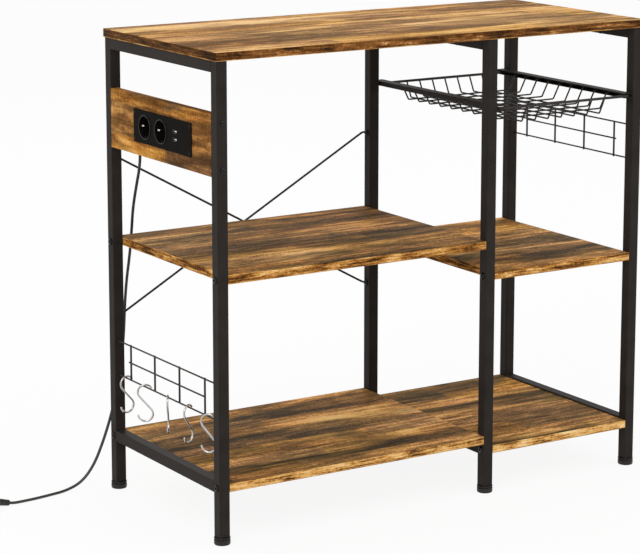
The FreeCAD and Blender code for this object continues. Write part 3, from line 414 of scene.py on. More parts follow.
def mesh_piece(name, build, slot, body="frame", nodes=(), materials=None, smooth=SHARP_ANGLE):
    """A piece from a mesh that build fills."""
    mesh = bmesh.new()
    build(mesh)
    bmesh.ops.remove_doubles(mesh, verts=mesh.verts, dist=MERGE_DISTANCE)
    bmesh.ops.recalc_face_normals(mesh, faces=mesh.faces)
    data = bpy.data.meshes.new(name)
    mesh.to_mesh(data)
    mesh.free()
    for face in data.polygons:
        face.use_smooth = True
    data.set_sharp_from_angle(angle=math.radians(smooth))
    return add_piece(name, data, slot, body, nodes, materials)


def rings(mesh, outlines, closed=False):
    """Joins outlines, each a list of points, into one closed skin."""
    made = [[mesh.verts.new(point) for point in outline] for outline in outlines]
    count = len(made[0])
    pairs = list(zip(made, made[1:]))
    if closed:
        pairs.append((made[-1], made[0]))
    else:
        mesh.faces.new(made[0])
        mesh.faces.new(made[-1])
    for first, second in pairs:
        for i in range(count):
            j = (i + 1) % count
            mesh.faces.new([first[i], first[j], second[j], second[i]])


def ring(radius, height, turn, steps=32, shape=None):
    """Points round the Z axis. shape gives the share of the radius at an angle."""
    angles = [2 * math.pi * step / steps for step in range(steps)]
    reach = [radius * (shape(angle) if shape else 1) for angle in angles]
    return [turn @ Vector((r * math.cos(a), r * math.sin(a), height)) for r, a in zip(reach, angles)]


def turned(mesh, profile, turn, steps=32, shape=None, closed=False):
    """A lathed form from pairs of radius and height in millimetres."""
    rings(mesh, [ring(r * MM, z * MM, turn, steps, shape) for r, z in profile], closed)


def facing(place, direction):
    """Stands the Z axis along a direction at a place."""
    turn = Vector(direction).to_track_quat("Z", "Y")
    return Matrix.Translation(place) @ turn.to_matrix().to_4x4()


def rounded_rectangle(width, height, radius, steps=5):
    """Corners of a rectangle about the origin, each corner an arc."""
    points = []
    for quarter, (sx, sy) in enumerate(((1, 1), (-1, 1), (-1, -1), (1, -1))):
        centre = Vector((sx * (width / 2 - radius), sy * (height / 2 - radius)))
        for step in range(steps + 1):
            angle = math.pi / 2 * (quarter + step / steps)
            points.append(centre + Vector((math.cos(angle), math.sin(angle))) * radius)
    return points


def eased_prism(mesh, width, height, low, high, corner, edge, turn, line=None):
    """A prism with rounded corners whose two end edges are eased by an arc. line adds a loop round it
    at a height above its foot."""
    bend = [(edge * (1 - math.sin(a)), edge * (1 - math.cos(a))) for a in (0, 0.52, 1.05, math.pi / 2)]
    stations = [(inset, low + rise) for inset, rise in bend]
    if line:
        stations.append((0, low + line))
    stations += [(inset, high - rise) for inset, rise in reversed(bend)]
    outlines = []
    for inset, level in stations:
        flat = rounded_rectangle(width - 2 * inset, height - 2 * inset, max(corner - inset, 0.05 * MM))
        outlines.append([turn @ Vector((p.x, p.y, level)) for p in flat])
    rings(mesh, outlines)


CORE_HEIGHT = 1.5 * MM
ARRIS = 0.7 * MM
# The corners of the top board are rounder than those of the boards between the posts.
TOP_CORNER_MM = 3
SHELF_CORNER_MM = 0.8
FACE, FRONT, END, CORE = range(4)


def board(name, corner_mm, face_material, front_material, end_material):
    """A laminate board: its faces run over the eased arrises, and strips cover its long sides and its
    ends, each trimmed to the core along its lower arris."""
    low, high = corners(name)
    middle = (low + high) / 2
    size = high - low
    turn = Matrix.Translation((middle.x, middle.y, 0))
    piece = mesh_piece(
        name + "_laminate",
        lambda mesh: eased_prism(
            mesh, size.x, size.y, low.z, high.z, corner_mm * MM, ARRIS, turn, line=CORE_HEIGHT),
        "wood_grain_board", nodes=[name],
        materials=[face_material, front_material, end_material, EDGE_CORE],
    )
    for face in piece.data.polygons:
        if abs(face.normal.z) > 0.4:
            face.material_index = FACE
        elif face.center.z < low.z + CORE_HEIGHT:
            face.material_index = CORE
        else:
            face.material_index = END if abs(face.normal.x) > 0.7 else FRONT


def boards():
    board("top_board", TOP_CORNER_MM, TOP_LAMINATE, TOP_EDGE, TOP_END)
    for level, edge in (("middle", MIDDLE_EDGE), ("bottom", BOTTOM_EDGE)):
        for side in ("left", "right"):
            board(f"{level}_shelf_{side}", SHELF_CORNER_MM, SHELF_LAMINATE_PAINTED_SHADE, edge, edge)
    frame["nodes"]["socket_board"].data.materials[0] = SOCKET_LAMINATE


def hexagon(width):
    """The reach of a hexagon of this width across its flats, at an angle."""
    return lambda angle: width / 2 / math.cos((angle + math.pi / 6) % (math.pi / 3) - math.pi / 6)


def cross(length, width):
    """The reach of a cross of this length and arm width, at an angle."""
    def reach(angle):
        x, y = max(abs(math.cos(angle)), 1e-6), max(abs(math.sin(angle)), 1e-6)
        return max(min(length / x, width / y), min(width / x, length / y)) / 2
    return reach


def fastener(mesh, turn, head, height, shank, length, recess, depth):
    """A screw or bolt of these radii, its domed head above the origin, with a driver's recess."""
    steps = 48
    outlines = [ring(shank * MM, -length * MM, turn, steps), ring(shank * MM, 0, turn, steps)]
    outlines.append(ring(head * MM, 0, turn, steps))
    widest = max(recess(2 * math.pi * step / steps) for step in range(steps)) * 1.12
    for share in (0, 0.3, 0.6, 0.85, 1):
        rise = height * (0.28 + 0.72 * math.sin(share * math.pi / 2))
        reach = widest + (head - widest) * math.cos(share * math.pi / 2)
        outlines.append(ring(reach * MM, rise * MM, turn, steps))
    outlines.append(ring(MM, height * MM, turn, steps, recess))
    outlines.append(ring(MM, (height - depth) * MM, turn, steps, recess))
    rings(mesh, outlines)


# Fasteners in millimetres: the radius and height of the head, the radius and length of the shank,
# the driver's recess and its depth.
SHELF_BOLT = (6, 2.8, 2.9, 43, hexagon(4), 1.9)
SOCKET_BOARD_BOLT = (4.25, 2.0, 1.9, 43, hexagon(2.6), 1.3)
TOP_SCREW = (3.7, 1.8, 1.95, 29.8, cross(4.2, 1.1), 1.2)
BRACE_SCREW = (3.7, 1.8, 1.95, 7.8, cross(4.2, 1.1), 1.2)
RAIL_SCREW = (2.65, 1.15, 1.95, 7.8, cross(3.2, 0.9), 0.8)
PLATE_SCREW = (2.3, 0.7, 1.4, 1.6, cross(2.6, 0.7), 0.6)
# Half the distance between the bolts of the socket board, and between the screws of a basket rail.
SOCKET_BOLT_HALF = 39.5 * MM
RAIL_SCREW_HALF = 188 * MM
BRACE_SHEET = 2 * MM
CHANNEL_SHEET_MM = 1.2

SHELF_ENDS = (
    ("middle_shelf_left", "left", "middle"),
    ("bottom_shelf_left", "left", "middle"),
    ("middle_shelf_right", "middle", "right"),
    ("bottom_shelf_right", "middle", "right"),
)


def bolts():
    """Button-head bolts with hexagon sockets through the posts."""
    def shelf_bolts(mesh):
        for shelf, near, far in SHELF_ENDS:
            low, high = corners(shelf)
            z = (low.z + high.z) / 2
            for side in ("front", "rear"):
                near_post = corners(f"post_{side}_{near}")
                far_post = corners(f"post_{side}_{far}")
                y = (near_post[0].y + near_post[1].y) / 2
                for x, way in ((near_post[0].x, -1), (far_post[1].x, 1)):
                    fastener(mesh, facing((x, y, z), (way, 0, 0)), *SHELF_BOLT)

    def socket_board_bolts(mesh):
        low, high = corners("socket_board")
        middle = (low.z + high.z) / 2
        front, rear = corners("post_front_left"), corners("post_rear_left")
        x = (front[0].x + front[1].x) / 2
        for z in (middle - SOCKET_BOLT_HALF, middle + SOCKET_BOLT_HALF):
            for y, way in ((front[0].y, -1), (rear[1].y, 1)):
                fastener(mesh, facing((x, y, z), (0, way, 0)), *SOCKET_BOARD_BOLT)

    mesh_piece("button_head_bolts", shelf_bolts, "black_bolts", nodes=["shelf_bolts"])
    mesh_piece("socket_board_button_heads", socket_board_bolts, "black_bolts",
               nodes=["socket_board_bolts"])


def screws():
    """Pan-head screws with cross recesses: in the top rails, the braces and the basket rails."""
    def under_top(mesh):
        for side in ("left", "middle", "right"):
            low, high = corners("top_rail_" + side)
            for y in (low.y / 2, high.y / 2):
                turn = facing(((low.x + high.x) / 2, y, low.z), (0, 0, -1))
                fastener(mesh, turn, *TOP_SCREW)

    def at_braces(mesh):
        low, high = corners("brace_screws")
        head = BRACE_SCREW[0] * MM
        for z in (low.z + head, high.z - head):
            y = (low.y + high.y) / 2
            for post, way in (("post_rear_left", 1), ("post_rear_middle", -1)):
                x = corners(post)[1 if way > 0 else 0].x + way * BRACE_SHEET
                fastener(mesh, facing((x, y, z), (way, 0, 0)), *BRACE_SCREW)

    def in_rails(mesh):
        for side, way in (("left", 1), ("right", -1)):
            low, high = corners("basket_rail_" + side)
            x = (low if way > 0 else high).x + way * CHANNEL_SHEET_MM * MM
            for y in (-RAIL_SCREW_HALF, RAIL_SCREW_HALF):
                turn = facing((x, y, (low.z + high.z) / 2), (way, 0, 0))
                fastener(mesh, turn, *RAIL_SCREW)

    mesh_piece("top_board_pan_heads", under_top, "black_bolts", nodes=["top_board_screws"])
    mesh_piece("brace_pan_heads", at_braces, "black_bolts", nodes=["brace_screws"])
    mesh_piece("basket_rail_pan_heads", in_rails, "black_bolts", nodes=["basket_rail_screws"])


def feet():
    """Moulded levelling feet: a round base with a groove under its rim, and a threaded stem."""
    thread = [(3.2 + 0.75 * (step % 2), 14 + step * 0.62) for step in range(13)]
    profile = [
        (12.2, 0.0), (13.2, 0.35), (13.8, 1.2), (14.1, 2.6), (14.1, 8.3), (13.6, 8.8), (12.2, 9.1),
        (12.2, 10.6), (13.6, 10.8), (14.1, 11.1), (14.1, 12.3), (13.7, 12.7), (6.5, 12.7), (3.2, 12.9),
    ] + thread
    for side in ("front", "rear"):
        for place in ("left", "middle", "right"):
            name = f"foot_{side}_{place}"
            low, high = corners(name)
            turn = Matrix.Translation(((low.x + high.x) / 2, (low.y + high.y) / 2, 0))

            mesh_piece(name + "_moulding", lambda mesh, turn=turn: turned(mesh, profile, turn, 64),
                       "black_plastic", name + "_body", [name])


def flat_plate(name, outlines, thickness, edge, turn, slot, nodes):
    """A plate with openings, from closed outlines of which the first is the outside."""
    curve = bpy.data.curves.new(name, "CURVE")
    curve.dimensions = "2D"
    curve.fill_mode = "BOTH"
    curve.extrude = thickness / 2 - edge
    curve.bevel_depth = edge
    curve.bevel_resolution = 2
    curve.offset = -edge
    for outline in outlines:
        spline = curve.splines.new("POLY")
        spline.points.add(len(outline) - 1)
        for point, place in zip(spline.points, outline):
            point.co = (place[0], place[1], 0, 1)
        spline.use_cyclic_u = True
    shape = bpy.data.objects.new(name + "_outline", curve)
    data = bpy.data.meshes.new_from_object(shape)
    bpy.data.objects.remove(shape)
    data.transform(turn)
    for face in data.polygons:
        face.use_smooth = True
    data.set_sharp_from_angle(angle=math.radians(SHARP_ANGLE))
    return add_piece(name, data, slot, "frame", nodes)


def circle(x, y, radius, steps=64):
    angles = [2 * math.pi * step / steps for step in range(steps)]
    return [Vector((x + radius * math.cos(a), y + radius * math.sin(a))) for a in angles]


SOCKET_PLACES = [mm(-449, 49, 683.5), mm(-449, -8, 683.5)]
USB_PLACES = [mm(-449, -58.7, 676.6), mm(-449, -58.7, 690.4)]
# Openings and rounding of the faceplate, and how far its screws stand in from its edges.
WELL_RADIUS = 20.7 * MM
USB_WIDTH, USB_HEIGHT, USB_CORNER = 12.8 * MM, 5.4 * MM, 0.4 * MM
PLATE_CORNER = 2.5 * MM
PLATE_EDGE = 0.35 * MM
PLATE_SCREW_INSET = 5.5 * MM
PLATE_SCREW_SINK = 0.2 * MM
GUIDE_OFFSET = 18.6 * MM
# The lip's profile round a well: radius and height.
LIP_PROFILE = (
    (21.6, 0.0), (21.6, 0.7), (21.3, 1.05), (20.8, 1.2), (20.0, 1.05), (19.45, 0.5), (19.4, 0.0),
)


def outlet():
    """The faceplate's bevelled edge and screws, and at each well a lip and guides."""
    low, high = corners("outlet_faceplate")
    middle = (low + high) / 2
    # The plate's own X and Y run along the unit's Y and Z.
    turn = Matrix(((0, 0, 1, middle.x), (1, 0, 0, 0), (0, 1, 0, 0), (0, 0, 0, 1)))
    plate = rounded_rectangle(high.y - low.y, high.z - low.z, PLATE_CORNER)
    outlines = [[p + Vector((middle.y, middle.z)) for p in plate]]
    outlines += [circle(place.y, place.z, WELL_RADIUS) for place in SOCKET_PLACES]
    for place in USB_PLACES:
        shape = rounded_rectangle(USB_WIDTH, USB_HEIGHT, USB_CORNER)
        outlines.append([p + Vector((place.y, place.z)) for p in shape])
    flat_plate("outlet_faceplate_moulding", outlines, high.x - low.x, PLATE_EDGE, turn, "outlet_plastic",
               ["outlet_faceplate"])

    def corner_screws(mesh):
        for y in (low.y + PLATE_SCREW_INSET, high.y - PLATE_SCREW_INSET):
            for z in (low.z + PLATE_SCREW_INSET, high.z - PLATE_SCREW_INSET):
                turn = facing((low.x + PLATE_SCREW_SINK, y, z), (-1, 0, 0))
                fastener(mesh, turn, *PLATE_SCREW)

    def lips(mesh):
        for place in SOCKET_PLACES:
            turned(mesh, LIP_PROFILE, facing(place, (-1, 0, 0)), 72, closed=True)

    def guides(mesh):
        for place in SOCKET_PLACES:
            for way in (-1, 1):
                turn = facing(place + Vector((0, 0, way * GUIDE_OFFSET)), (1, 0, 0))
                eased_prism(mesh, 1.7 * MM, 5.5 * MM, 1.2 * MM, 16.7 * MM, 0.5 * MM, 0.4 * MM, turn)

    mesh_piece("faceplate_screws", corner_screws, "black_bolts", materials=[POWDER_COAT])
    mesh_piece("socket_lips", lips, "outlet_plastic", materials=[POLISHED_ABS])
    mesh_piece("socket_guides", guides, "outlet_plastic", materials=[POLISHED_ABS])


def strip_outline(path, thickness):
    """Both sides of a line of points in a plane, as one closed outline."""
    left, right = [], []
    for i, point in enumerate(path):
        before, after = path[max(i - 1, 0)], path[min(i + 1, len(path) - 1)]
        run = (after - before).normalized()
        side = Vector((-run.y, run.x)) * thickness / 2
        left.append(point + side)
        right.append(point - side)
    return left + right[::-1]


def rounded_path(points, bend, closed=False, steps=6):
    """Points along straight runs whose corners are arcs of this radius."""
    count = len(points)
    made = [] if closed else [points[0]]
    for i in range(0 if closed else 1, count if closed else count - 1):
        before, corner, after = points[i - 1], points[i], points[(i + 1) % count]
        arriving = (corner - before).normalized()
        leaving = (after - corner).normalized()
        turn = arriving.angle(leaving)
        first = corner - arriving * bend * math.tan(turn / 2)
        inward = (leaving - arriving * arriving.dot(leaving)).normalized()
        centre = first + inward * bend
        for step in range(steps + 1):
            angle = turn * step / steps
            made.append(centre - inward * bend * math.cos(angle) + arriving * bend * math.sin(angle))
    if not closed:
        made.append(points[-1])
    return made


# An earth spring from its root in the well's floor to its free end: depth and distance from the
# middle. Its corners are bent to this radius.
SPRING_PATH = ((16.6, 17.6), (13.5, 17.6), (7.6, 16.2), (5.4, 18.2), (4.8, 18.6))
SPRING_BEND_MM = 0.6
SPRING_SHEET = 0.8 * MM
SPRING_HALF_WIDTH = 1.2


def earth_springs():
    """Bent sheet springs that stand off each side of a well."""
    def build(mesh):
        for place in SOCKET_PLACES:
            for way in (-1, 1):
                path = rounded_path([Vector(point) for point in SPRING_PATH], SPRING_BEND_MM)
                outline = strip_outline([p * MM for p in path], SPRING_SHEET)
                rings(mesh, [
                    [place + Vector((p.x, way * p.y, half * MM)) for p in outline]
                    for half in (-SPRING_HALF_WIDTH, SPRING_HALF_WIDTH)
                ])
    mesh_piece("earth_springs", build, "contact_metal", nodes=["earth_clips"], smooth=40)


def blunt(run, radius):
    """Points of a run with their shares of the radius, so that both of its ends are rounded over."""
    caps = [(1 - math.sin(angle), math.cos(angle)) for angle in (1.45, 1.1, 0.7, 0.35)]
    start = (run[1] - run[0]).normalized() * radius
    end = (run[-2] - run[-1]).normalized() * radius
    points = [(run[0] + start * back, share) for back, share in caps]
    points += [(run[0] + start, 1)] + [(point, 1) for point in run[1:-1]] + [(run[-1] + end, 1)]
    return points + [(run[-1] + end * back, share) for back, share in reversed(caps)]


def wires(name, runs, width_mm, slot, body, nodes=(), closed=False):
    """Round wires along runs of points, with blunt ends where they are open."""
    curve = bpy.data.curves.new(name, "CURVE")
    curve.dimensions = "3D"
    radius = width_mm / 2 * MM
    for run in runs:
        points = [(point, 1) for point in run] if closed else blunt(run, radius)
        spline = curve.splines.new("POLY")
        spline.points.add(len(points) - 1)
        for made, (point, share) in zip(spline.points, points):
            made.co = (*point, 1)
            made.radius = share
        spline.use_cyclic_u = closed
    curve.bevel_depth = radius
    curve.bevel_resolution = 4
    curve.use_fill_caps = True
    return add_piece(name, curve, slot, body, nodes)


WELD_PROFILE = ((0.2, 0), (0.9, 0.5), (1.2, 1.4), (0.9, 2.2), (0.2, 2.6))


def weld(mesh, place):
    """A small weld bead where two wires cross, drawn out both ways along Y."""
    for way in (-1, 1):
        turned(mesh, WELD_PROFILE, facing(place, (0, way, 0)), 10)


# The grids in millimetres: wire, the distances between long wires and between uprights, how far the
# uprights stand off, and half the length of each long wire from the lowest up.
GRID_WIRE_MM = 3
GRID_UPRIGHT_MM = 3.6
GRID_PITCH_MM = 31.3
UPRIGHT_PITCH_MM = 89
UPRIGHT_STEPS = (-1.5, -0.5, 0.5, 1.5)
UPRIGHT_OFFSET_MM = 2.9
GRID_WELD_OFFSET_MM = 1.45
LOWEST_WIRE = 2.5 * MM
LONG_WIRE_HALVES = (178, 136, 178)


def grids():
    """Wire grids: three long wires and four uprights welded across them."""
    for side, inward in (("left", 1), ("right", -1)):
        low, high = corners("grid_panel_" + side)
        wire_radius = GRID_WIRE_MM / 2 * MM
        long_x = low.x + wire_radius if inward > 0 else high.x - wire_radius
        upright_x = long_x + inward * UPRIGHT_OFFSET_MM * MM
        bottom = low.z + LOWEST_WIRE
        runs = []
        for row, half in enumerate(LONG_WIRE_HALVES):
            z = bottom + row * GRID_PITCH_MM * MM
            runs.append([Vector((long_x, -half * MM, z)), Vector((long_x, half * MM, z))])
        panel = [f"grid_panel_{side}"]
        wires(f"grid_wires_{side}", runs, GRID_WIRE_MM, "black_wire", "frame", panel)
        runs = []
        for step in UPRIGHT_STEPS:
            y = step * UPRIGHT_PITCH_MM * MM
            runs.append([Vector((upright_x, y, low.z)), Vector((upright_x, y, high.z - wire_radius))])
        wires(f"grid_uprights_{side}", runs, GRID_UPRIGHT_MM, "black_wire", "frame", panel)

        def welds(mesh, long_x=long_x, inward=inward, bottom=bottom):
            x = long_x + inward * GRID_WELD_OFFSET_MM * MM
            for row in range(len(LONG_WIRE_HALVES)):
                for step in UPRIGHT_STEPS:
                    y = step * UPRIGHT_PITCH_MM * MM
                    weld(mesh, Vector((x, y, bottom + row * GRID_PITCH_MM * MM)))
        mesh_piece(f"grid_welds_{side}", welds, "black_wire", smooth=80)


# Each hook's place along the grid and its turn about the vertical, in degrees.
HOOK_PLACES = ((144.9, 5), (76.0, -28), (-6.9, 58), (-80.0, 28), (-150.1, -50))
HOOK_WIRE_MM = 3.5
HOOK_X, HOOK_Z = -440.3, 214.9
# The radius of both bends and the heights of their centres, and where the wire ends in each, as angles.
HOOK_BEND, UPPER_BEND, LOWER_BEND = 13.25, -9.7, -49.7
UPPER_END, LOWER_END = 0.5257, -3.0473


def hooks():
    """S-hooks of bright wire, each hung over the grid's lowest wire and turned its own way."""
    slant = math.acos(2 * HOOK_BEND / (UPPER_BEND - LOWER_BEND))
    top = (UPPER_END, 1.5 * math.pi - slant)
    base = (0.5 * math.pi - slant, LOWER_END)
    path = []
    for centre, (start, end) in ((UPPER_BEND, top), (LOWER_BEND, base)):
        for step in range(25):
            angle = start + (end - start) * step / 24
            path.append(mm(HOOK_BEND * math.cos(angle), 0, centre + HOOK_BEND * math.sin(angle)))
    for number, (y, turn) in enumerate(HOOK_PLACES, start=1):
        turned_to = Matrix.Rotation(math.radians(turn), 4, "Z")
        place = Matrix.Translation(mm(HOOK_X, y, HOOK_Z)) @ turned_to
        name = f"hook_{number}"
        run = [place @ point for point in path]
        wires(name + "_wire", [run], HOOK_WIRE_MM, "chrome_hooks", name + "_body", [name])


# A channel's section from the middle of its sheet, its bends, and the stop across its rear end.
CHANNEL_SECTION = ((19, 0.6), (0.6, 0.6), (0.6, 8.4), (19, 8.4))
CHANNEL_BEND = 1.1 * MM
STOP_WIDTH, STOP_HEIGHT, STOP_SHEET = 18 * MM, 6.4 * MM, 1.1 * MM


def basket_rails():
    """Rolled sheet channels that open towards each other, with a stop at the rear."""
    for side, inward in (("left", 1), ("right", -1)):
        name = "basket_rail_" + side
        low, high = corners(name)
        back = low.x if inward > 0 else high.x

        def build(mesh, low=low, high=high, back=back, inward=inward):
            path = rounded_path([mm(*point).to_2d() for point in CHANNEL_SECTION], CHANNEL_BEND)
            outline = strip_outline(path, CHANNEL_SHEET_MM * MM)
            rings(mesh, [
                [Vector((back + inward * p.x, y, low.z + p.y)) for p in outline] for y in (low.y, high.y)
            ])
            stop = Vector((back + inward * 9.9 * MM, high.y - 1.2 * MM, (low.z + high.z) / 2))
            turn = facing(stop, (0, 1, 0))
            eased_prism(mesh, STOP_WIDTH, STOP_HEIGHT, 0, STOP_SHEET, 0.5 * MM, 0.3 * MM, turn)
        mesh_piece(name + "_channel", build, "powder_coated_steel", nodes=[name])


# The basket: its wires and bends, the distance between the cross wires, and the tray's form, from
# the rim in to the lip, to the foot of the slope and down to the floor.
RIM_WIRE_MM = 5
TRAY_WIRE_MM = 3
RIM_BEND = 12 * MM
TRAY_BEND = 4 * MM
CROSS_PITCH_MM = 35
LIP_INSET, FOOT_INSET, TRAY_DROP = 17 * MM, 31 * MM, 27 * MM
SLOPE_RUN = 13.5 * MM


def basket():
    """A bent rim with a tray of wires welded under it."""
    low, high = corners("basket_rim")
    middle = (low + high) / 2
    reach = (high - low) / 2 - mm(2.5, 2.5, 2.5)
    z = middle.z
    rim = rounded_path([
        Vector((middle.x + sx * reach.x, middle.y + sy * reach.y, z))
        for sx, sy in ((1, 1), (-1, 1), (-1, -1), (1, -1))
    ], RIM_BEND, closed=True)
    wires("basket_rim_wire", [rim], RIM_WIRE_MM, "black_wire", "basket", ["basket_rim"], closed=True)

    lip, foot, drop = reach.x - LIP_INSET, reach.x - FOOT_INSET, TRAY_DROP
    runs = []
    for number in range(-4, 5):
        y = middle.y + number * CROSS_PITCH_MM * MM
        end = reach.x - 2 * MM
        flat = [(-end, 0), (-lip, 0), (-foot, -drop), (foot, -drop), (lip, 0), (end, 0)]
        runs.append(rounded_path([Vector((middle.x + x, y, z + rise)) for x, rise in flat], TRAY_BEND))
    wires("basket_cross_bends", runs, TRAY_WIRE_MM, "black_wire", "basket", ["basket_cross_wires"])

    runs = []
    for number in range(-3, 4):
        x = middle.x + number * foot / 4
        deep = drop + 2.3 * MM
        half = reach.y - 0.5 * MM
        foot_y = half - SLOPE_RUN
        flat = [(-half, -2 * MM), (-foot_y, -deep), (foot_y, -deep), (half, -2 * MM)]
        runs.append(rounded_path([Vector((x, middle.y + y, z + rise)) for y, rise in flat], TRAY_BEND))
    wires("basket_long_bends", runs, TRAY_WIRE_MM, "black_wire", "basket", ["basket_long_wires"])

    def welds(mesh):
        for row in range(-4, 5):
            y = middle.y + row * CROSS_PITCH_MM * MM
            for column in range(-3, 4):
                weld(mesh, Vector((middle.x + column * foot / 4, y, z - drop - 1.15 * MM)))
            for way in (-1, 1):
                weld(mesh, Vector((middle.x + way * (reach.x - 2.2 * MM), y, z)))
    mesh_piece("basket_welds", welds, "black_wire", "basket", smooth=80)


# The cord's route in real sizes, the same points as in the part's source.
CORD_ROUTE = [
    mm(-415, 104, 668),
    mm(-415, 118, 668),
    mm(-414.5, 131.5, 662.5),
    mm(-411, 141.5, 649.5),
    mm(-405, 149.5, 628),
    mm(-399.5, 162, 594),
    mm(-398, 180, 554),
    mm(-396.5, 197, 511),
    mm(-394.5, 207, 466),
    mm(-397.5, 209.5, 424),
    mm(-403.5, 211.5, 380),
    mm(-407.5, 212.5, 332),
    mm(-410.5, 211.5, 282),
    mm(-417, 210, 232),
    mm(-427, 209, 182),
    mm(-441, 208, 131),
    mm(-457.5, 208, 86),
    mm(-476, 210, 43),
    mm(-500, 213, 13.5),
    mm(-532, 212.5, 2.7),
    mm(-568, 205, 2.7),
    mm(-601, 199.5, 2.7),
    mm(-626, 197.8, 2.7),
    mm(-644.25, 196.9, 2.7),
    mm(-654, 196.1, 5.23),
]
CORD_WIDTH = 5.2 * MM
# The plug lies on its rim and on the end of its strain relief, which tilts it.
PLUG_TILT = math.atan(13.2 / 51)
PLUG_FACE_MM = 68
PIN_HALF_MM = 9.5
PIN_PROFILE = ((2.4, 0), (2.4, 16.9), (2.2, 18), (1.6, 18.7), (0.7, 19))


def grooved(start, end, length, grooves, depth):
    """A tapered sleeve's profile with grooves round it, between two radii."""
    profile = [(start * 0.72, 0), (start, 0)]
    for number in range(grooves):
        for share, cut in ((0.25, 0), (0.35, depth), (0.65, depth), (0.75, 0)):
            along = length * (0.1 + 0.8 * (number + share) / grooves)
            profile.append((start + (end - start) * along / length - cut, along))
    return profile + [(end, length), (end * 0.72, length)]


def strain_relief():
    low, high = corners("cord_strain_relief")
    turn = facing(((low.x + high.x) / 2, low.y, (low.z + high.z) / 2), (0, 1, 0))
    mesh_piece("grooved_strain_relief", lambda mesh: turned(mesh, grooved(5.5, 3.5, 22, 6, 0.7), turn),
               "black_plastic", nodes=["cord_strain_relief"])


def plug():
    """A round moulded plug that lies on the floor, with two pins, grip ribs and earth slots."""
    last_run = CORD_ROUTE[-1] - CORD_ROUTE[-2]
    level = math.hypot(last_run.x, last_run.y)
    direction = Vector((last_run.x, last_run.y, level * math.tan(PLUG_TILT))).normalized()
    upright = Vector((0, 0, 1))
    across_plug = upright.cross(direction).normalized()
    down = direction.cross(across_plug)
    axes = Matrix((across_plug, down, direction)).transposed().to_4x4()
    turn = Matrix.Translation(CORD_ROUTE[-1]) @ axes

    def slots(angle):
        return 1 - 0.13 * (abs(math.sin(angle)) > 0.985)

    def ribs(angle):
        return 1 - 0.05 * (math.cos(24 * angle) < 0)

    def body(mesh):
        outlines = []
        for radius, height, shape in (
            (6.2, 22, None), (8.0, 22.2, None), (8.6, 23.5, None), (11.6, 32, ribs), (13.2, 37, ribs),
            (13.5, 42, ribs), (13.9, 46, ribs), (16.4, 49.2, None), (18.0, 50.6, None),
            (18.5, 52.2, slots), (18.5, 66.6, slots), (18.1, 67.6, slots), (17.3, PLUG_FACE_MM, slots),
        ):
            outlines.append(ring(radius * MM, height * MM, turn, 96, shape))
        rings(mesh, outlines)

    def pins(mesh):
        for x in (-PIN_HALF_MM, PIN_HALF_MM):
            place = turn @ Matrix.Translation(mm(x, 0, PLUG_FACE_MM))
            turned(mesh, PIN_PROFILE, place, 24)

    return [
        mesh_piece("plug_sleeve", lambda mesh: turned(mesh, grooved(5.3, 6.5, 22, 6, 0.7), turn),
                   "plug_plastic", nodes=["plug_strain_relief"]),
        mesh_piece("plug_moulding", body, "plug_plastic", nodes=["plug_body"]),
        mesh_piece("plug_pin_pair", pins, "contact_metal", nodes=["plug_pins"]),
    ]


def cord(on_cord):
    curve = bpy.data.curves.new("mains_cord_sheath", "CURVE")
    curve.dimensions = "3D"
    spline = curve.splines.new("NURBS")
    spline.points.add(len(CORD_ROUTE) - 1)
    for point, place in zip(spline.points, CORD_ROUTE):
        point.co = (*place, 1)
    spline.order_u = 3
    spline.use_endpoint_u = True
    spline.resolution_u = 12
    curve.bevel_depth = CORD_WIDTH / 2
    curve.bevel_resolution = 6
    curve.use_fill_caps = True
    piece = add_piece("mains_cord_sheath", curve, "cord_sheath", "frame", ["mains_cord"])


# The share of white that the background shows beside its own shading.
BACKDROP_WHITE = 0.9
FLOOR_SIZE = 60
# What all lamps point at, in metres.
LIGHT_TARGET = Vector((0, 0, 0.4))


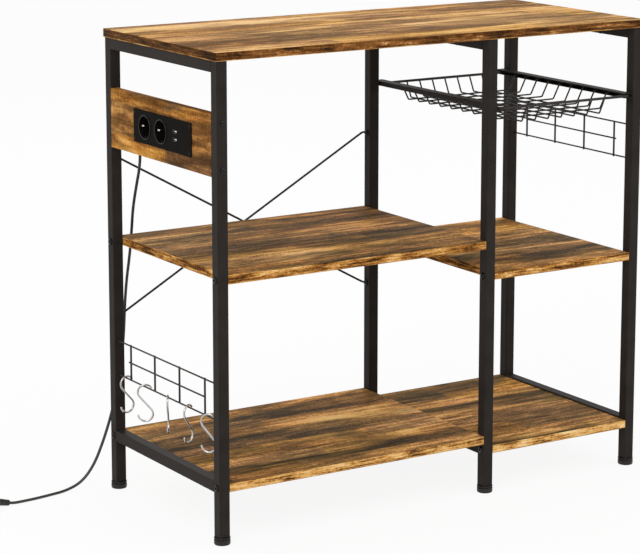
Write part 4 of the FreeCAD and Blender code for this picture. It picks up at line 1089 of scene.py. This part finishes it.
def seen_rays(tree):
    """One where a ray comes from the camera or from a gloss or glass, else zero."""
    rays = node(tree, "LightPath")
    seen = rays.outputs["Is Camera Ray"]
    for kind in ("Is Glossy Ray", "Is Transmission Ray"):
        seen = node(tree, "Math", {"operation": "MAXIMUM"}, {0: seen, 1: rays.outputs[kind]}).outputs[0]
    return seen


def floor_and_light():
    """A plain pale floor under soft studio light, white to the camera."""
    bpy.ops.mesh.primitive_plane_add(size=FLOOR_SIZE)
    floor = bpy.context.object
    floor.name = "floor"
    material, tree, surface = new_material("matt_white_floor")
    surface.inputs["Base Color"].default_value = linear("f2f2f2")
    surface.inputs["Roughness"].default_value = 0.9
    share = node(tree, "Math", {"operation": "MULTIPLY"}, {0: seen_rays(tree), 1: BACKDROP_WHITE})
    glow = node(tree, "Emission", inputs={"Color": (1, 1, 1, 1), "Strength": 1.0})
    mixed = node(tree, "MixShader", inputs={
        0: share.outputs[0], 1: surface.outputs[0], 2: glow.outputs[0],
    })
    tree.links.new(mixed.outputs[0], tree.nodes["Material Output"].inputs["Surface"])
    floor.data.materials.append(material)

    world = bpy.data.worlds.new("studio")
    bpy.context.scene.world = world
    world.use_nodes = True
    tree = world.node_tree
    background = tree.nodes["Background"]
    strength = node(tree, "MapRange", inputs={
        "Value": seen_rays(tree), "To Min": 0.8, "To Max": 1.0,
    })
    tree.links.new(strength.outputs["Result"], background.inputs["Strength"])
    background.inputs["Color"].default_value = (1, 1, 1, 1)
    for name, place, size, power in (
        ("key_light", (-3.4, -2.2, 3.4), 2.4, 70),
        ("fill_light", (2.2, -3.6, 2.6), 2.5, 30),
        ("rear_light", (0.6, 3.4, 3.0), 2.5, 20),
    ):
        lamp = bpy.data.objects.new(name, bpy.data.lights.new(name, "AREA"))
        bpy.context.collection.objects.link(lamp)
        lamp.data.size = size
        lamp.data.energy = power
        lamp.location = place
        lamp.rotation_euler = (LIGHT_TARGET - Vector(place)).to_track_quat("-Z", "Y").to_euler()


dress_cad_nodes()
cord(plug())
strain_relief()
boards()
bolts()
screws()
feet()
outlet()
earth_springs()
grids()
hooks()
basket_rails()
basket()
floor_and_light()
bpy.context.scene.view_settings.view_transform = "Standard"
